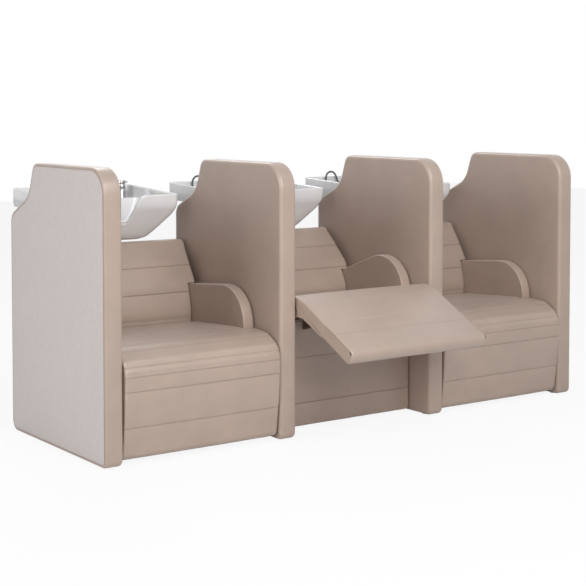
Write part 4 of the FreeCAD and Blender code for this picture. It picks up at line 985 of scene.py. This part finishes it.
# %% Basin
# Rows of the bowl's outside: height, half width, front, rear, corner radius.
BOWL = np.array([(790, 180, 800, 986, 44), (803, 204, 784, 1001, 46), (825, 224, 764, 1017, 48),
                 (861, 253, 737, 1033, 46), (900, 282, 713, 1043, 40), (930, 292, 695, 1050, 33),
                 (950, 295, 688, 1053, 28), (1012, 295, 686, 1054, 24)], float)
WALL, DECK_Z, FRONT_Y, REAR_Y = 18.0, 962.0, 686, 1170.0
OUTER, INNER = (295, FRONT_Y, REAR_Y, 24), (277, FRONT_Y + 18, REAR_Y - WALL, 15)
DRAIN, DRAIN_FLAT = (24, 871, 919, 23.9), (60, 845, 945, 40)
FOOT_Z, WALL_Z, FLOOR_Z, ROLL = 790, 872, 808, 8
RIM_HEIGHTS, RIM_FULL = (994, 1019), 1004
NECK_DEPTH, NECK_HALF, NECK_END = 112.0, 80.0, 760
FRONT_RUNS = ((-1, 1, 13), (-0.5, -0.3, 13), (0.3, 0.5, 13), (-0.3, 0.3, 25))
FRONT_SPOTS = np.unique(np.concatenate([np.linspace(*run) for run in FRONT_RUNS]))


def basin_ring(half, front, rear, radius):
    """Points round a rounded rectangle, with the same share of them on each side whatever its size."""
    x_flat, y_low, y_high = half - radius, front + radius, rear - radius
    even = np.linspace(0, 1, 13)
    ring = []
    for side, x, y, start in (
            ([(s * x_flat, front) for s in FRONT_SPOTS], x_flat, y_low, -90),
            ([(half, y_low + (y_high - y_low) * s) for s in even], x_flat, y_high, 0),
            ([(-s * x_flat, rear) for s in np.linspace(-1, 1, 13)], -x_flat, y_high, 90),
            ([(-half, y_high + (y_low - y_high) * s) for s in even], -x_flat, y_low, 180)):
        ring += side + [on_circle(x, y, radius, angle) for angle in start + np.linspace(0, 90, 9)[1:-1]]
    return np.array(ring)


def bowl_at(z, inset):
    half, front, rear, radius = (np.interp(z, BOWL[:, 0], BOWL[:, k]) for k in (1, 2, 3, 4))
    return half - inset, front + inset, rear - inset, max(radius - inset / 2, 12)


outer, inner = basin_ring(*OUTER), basin_ring(*INNER)
at_front = outer[:, 1] < NECK_END
at_rear = smooth(outer[:, 1], 1036, 1052)[:, None]
top = np.interp(outer[:, 1], (FRONT_Y, REAR_Y), RIM_HEIGHTS)
top = top - np.where(at_front, NECK_DEPTH / (1 + (np.abs(outer[:, 0]) / NECK_HALF) ** 8), 0)


def bowl_ring(level, inset, heights):
    """The bowl's ring at a level, its front columns moved to the bowl's front at their own heights."""
    shape = bowl_at(level, inset)
    plan = basin_ring(*shape)
    fronts = np.array([bowl_at(h, inset)[1] for h in heights])
    plan[:, 1] = np.where(at_front, plan[:, 1] - shape[1] + fronts, plan[:, 1])
    return plan


def basin_mesh(name):
    rings = []

    def add(plan, z, rear=None, rear_z=None):
        """A ring; rear and rear_z are what its rear columns go over to."""
        if rear is not None:
            plan = plan + (rear - plan) * at_rear
        if rear_z is not None:
            z = z + (rear_z - z) * at_rear[:, 0]
        rings.append(np.column_stack([plan, np.broadcast_to(z, len(plan))]))

    def pinched(level, inset, pinch):
        half, front, rear, radius = bowl_at(level, inset)
        return basin_ring(half - pinch, front + pinch, rear - pinch, radius)

    add(basin_ring(*DRAIN), FOOT_Z)
    add(basin_ring(*DRAIN_FLAT), FOOT_Z)
    for z in (790, 792, 797, 803, 812, 825, 842, 858):
        add(pinched(z, 0, 5 * sqrt(max(0, 1 - ((z - FOOT_Z) / 5) ** 2)) if z < 795 else 0), z)
    for share in (0, 0.12, 0.24, 0.36, 0.4499, 0.4501, 0.5, 0.6, 0.72, 0.86, 1.0):
        z = WALL_Z + (top - ROLL - WALL_Z) * share
        level = WALL_Z + (RIM_FULL - WALL_Z) * share
        half, front, _, radius = bowl_at(level, 0)
        add(bowl_ring(level, 0, z), z, basin_ring(half, front, REAR_Y, radius) if share >= 0.45 else None)
    lift = np.array([bowl_at(h, 0)[1] for h in top])[:, None] - FRONT_Y
    slide = np.where(at_front[:, None], lift, 0) * np.array([0, 1])
    for angle in np.radians(np.linspace(0, 180, 13)[1:-1]):
        across = (1 - cos(angle)) / 2
        add(outer + (inner - outer) * across + slide, top - ROLL + ROLL * sin(angle) ** 0.8)
    for share in (0.02, 0.25, 0.5, 0.75, 0.9, 0.97):
        z = top - ROLL + (np.where(at_rear[:, 0] > 0.5, DECK_Z + 6, 934) - top + ROLL) * share
        z = np.minimum(z, top - ROLL)
        add(bowl_ring(950, WALL, z), z, inner)
    mouth = basin_ring(*bowl_at(DECK_Z, WALL))
    for sag in (0.3, 0.7, 1.0):
        low = np.minimum(934 - 6 * sag, top - 10 - 2 * sag)
        add(bowl_ring(930, WALL, low), low, inner - (inner - mouth) * 0.06 * sag, DECK_Z + 6 * (1 - sag))
    for share, sink in ((0.4, 0), (0.85, 0.3), (1.0, 2.5)):
        low = np.minimum(926 - 8 * share, top - 14 - 4 * share)
        add(bowl_ring(920, WALL, low), low, inner + (mouth - inner) * share, DECK_Z - sink)
    for z in (905, 885, 868, 850, 835, 822, 814, 810, 808.3):
        plan = pinched(max(z, FLOOR_Z), WALL, 14 * max(0.0, 1 - (z - FLOOR_Z) / 14) ** 2)
        add(plan, np.where(at_front, np.minimum(z, top - 20), z))
    for ring, z in ((DRAIN_FLAT, 806.5), ((34, 861, 929, 33), 805.5), (DRAIN, 804.5)):
        add(basin_ring(*ring), z)
    return skin(name, metres(rings), loop=True)


bowl_mesh = basin_mesh("basin")
for bed in BEDS:
    show(f"basin_glazed_{bed}", bowl_mesh, CERAMIC, f"basin_{bed}", f"basin_{bed}",
         bed_matrix(bed, "basin"))
print("basin faces", len(bowl_mesh.polygons))

# %% [markdown]
# ## Taps, hoses and hand showers
# Turned parts are profiles spun round an axis. The lever is a flat bar that thins and rounds towards its tip.
# The hose runs along the same points as in the CAD model, and its ribs are small rings placed along it.


# %% Turned parts
def round_turn(steps):
    return np.linspace(0, 2 * pi, steps, False)


def turned_part(name, profile, place, axis=(0, 0, 1)):
    """Spins (distance along, radius) points round an axis through place, all in millimetres."""
    axis = Vector(axis).normalized()
    side = axis.orthogonal().normalized()
    place, axis, side, other = (np.array(v) for v in (place, axis, side, axis.cross(side)))
    return skin(name, metres([[place + axis * along + radius * (side * cos(a) + other * sin(a))
                               for a in round_turn(40)] for along, radius in profile]))


MIXER = np.array([212.0, 1076.0, DECK_Z])
MIXER_BODY = [(0, 23), (4.5, 23), (6.2, 22.2), (7, 20.6), (9, 20), (38, 19.4), (39, 18.6), (40.5, 18.6),
              (41.5, 19.6), (60.5, 20), (62, 19.2), (62, 8)]
FERRULE = [(0, 11), (2.4, 11), (3.2, 10.2), (4.2, 9.4), (9, 8.8), (9.6, 9.4), (11, 9.4), (12, 8), (12, 4.6)]
mixer_mesh = joined("mixer", [turned_part("base", MIXER_BODY, MIXER),
                              turned_part("ferrule", FERRULE, (-172, 1140, DECK_Z))])


LEVER_CAP = [(0.3, 8.1), (0.3, 19.6), (1.2, 20.4), (14, 20.4), (16.6, 19.2), (17.8, 15), (18.3, 7),
             (18.4, 0.5)]
LEVER_START, LEVER_LENGTH, MIXER_TOP = 14, 48, 62


def squarish(value):
    """Turns a round line's sine or cosine into a flat bar's, with rounded edges."""
    return np.sign(value) * abs(value) ** 0.6


def lever_mesh():
    cap = turned_part("cap", LEVER_CAP, MIXER + [0, 0, MIXER_TOP])
    rings = []
    for share in np.linspace(0, 1, 15):
        y = MIXER[1] - LEVER_START - LEVER_LENGTH * share
        round_off = sqrt(max(0.02, 1 - max(0, (share - 0.88) / 0.12) ** 2))
        wide, thick = (7.2 - 1.6 * share) * round_off, (4.2 - 1.4 * share) * round_off
        z = MIXER[2] + MIXER_TOP + 10.4 + 1.5 * share
        rings.append([(MIXER[0] + wide * squarish(cos(a)), y, z + thick * squarish(sin(a)))
                      for a in round_turn(24)])
    return joined("lever", [cap, skin("arm", metres(rings))])


TAIL = np.array([84.0, 1122.0, 974.0])
AXIS = np.array([158.0, 0.0, DECK_Z + 21.2 - 974.0])
AXIS = AXIS / norm(AXIS)
GRIP = [(0, 5.6), (0.6, 8.4), (2, 9), (12, 10.2)]
RIDGE = ((0, 11.4), (2.2, 11.5), (3.0, 10.5), (4.6, 10.5), (5.3, 11.4))
GRIP += [(20 + rib * 5.6 + along, radius) for rib in range(9) for along, radius in RIDGE]
GRIP += [(74, 11.4), (92, 10.8), (112, 10.1), (120, 10.6), (126, 13), (131, 17), (137, 19.4), (142, 20),
         (154.5, 20), (156.6, 19.4), (157.6, 18.2), (157.2, 16.8), (156.4, 16.2), (156.4, 1)]
handset_mesh = turned_part("handset", GRIP, TAIL, AXIS)
face = TAIL + AXIS * 156.6
across = np.array([-AXIS[2], 0, AXIS[0]])
nozzle_spots = [face + across * reach * sin(turn) + np.array([0, 1, 0]) * reach * cos(turn)
                for reach, count in ((5.5, 6), (11.5, 12)) for turn in round_turn(count)]
NOZZLE = {"Axis": tuple(AXIS), "Radius": 0.0011, "Height": 0.0018}
nozzle_mesh = grown("nozzles", [metres(nozzle_spots)], STUDS, NOZZLE, RUBBER, spots=True)
lever = lever_mesh()
for bed in BEDS:
    place = bed_matrix(bed, "basin")
    show(f"mixer_{bed}", mixer_mesh, CHROME, f"basin_{bed}", f"mixer_body_{bed}", place)
    show(f"lever_{bed}", lever, CHROME, f"mixer_lever_{bed}", f"mixer_lever_{bed}", place)
    show(f"handset_{bed}", handset_mesh, GLOSS_BLACK, f"basin_{bed}", f"hand_shower_{bed}",
         place)
    show(f"nozzles_{bed}", nozzle_mesh, RUBBER, f"basin_{bed}", None, place)

# %% Hoses
HOSE_ROUTE = ((-172, 1140, 974), (-172, 1140, 1000), (-171, 1141, 1026), (-153, 1141, 1044),
              (-128, 1140, 1044), (-110, 1138, 1026), (-103, 1135, 996), (-83, 1131, 973),
              (-51, 1126, 967.5), (-17, 1120, 967), (19, 1119, 967), (54, 1122, 972.25), (84, 1122, 974))
HOSE_LENGTH, HOSE_DIAMETER = 0.352, 0.009
RIB = {"Spacing": 0.003, "Reach": 0.0044, "Radius": 0.0006}


def hose_curve(name, points, bevel=HOSE_DIAMETER / 2):
    curve = bpy.data.curves.new(name, "CURVE")
    curve.dimensions = "3D"
    curve.bevel_depth = bevel
    curve.bevel_resolution = 4
    curve.resolution_u = 14
    curve.use_fill_caps = bevel > 0
    spline = curve.splines.new("NURBS")
    spline.points.add(len(points) - 1)
    for spot, point in zip(spline.points, points):
        spot.co = (*point, 1.0)
    spline.order_u = 3
    spline.use_endpoint_u = True
    curve.materials.append(HOSE)
    return placed(name, curve)


for bed in BEDS:
    points = [carried(bed_matrix(bed, "basin"), *spot) for spot in HOSE_ROUTE]
    bare = hose_curve(f"hose_line_{bed}", points, 0)
    followed = bpy.data.meshes.new_from_object(bare.evaluated_get(bpy.context.evaluated_depsgraph_get()))
    line = [tuple(v.co) for v in followed.vertices][2:-2]
    bpy.data.objects.remove(bare)
    rib_mesh = grown("ribs", [line], RINGS, RIB, HOSE)
    ribs = show(f"hose_ribs_{bed}", rib_mesh, HOSE, f"basin_{bed}")
    hose = hose_curve(f"hose_{bed}", points)
    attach(hose, f"basin_{bed}")
    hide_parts(f"shower_hose_{bed}")

# %% Finish
low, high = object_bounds()
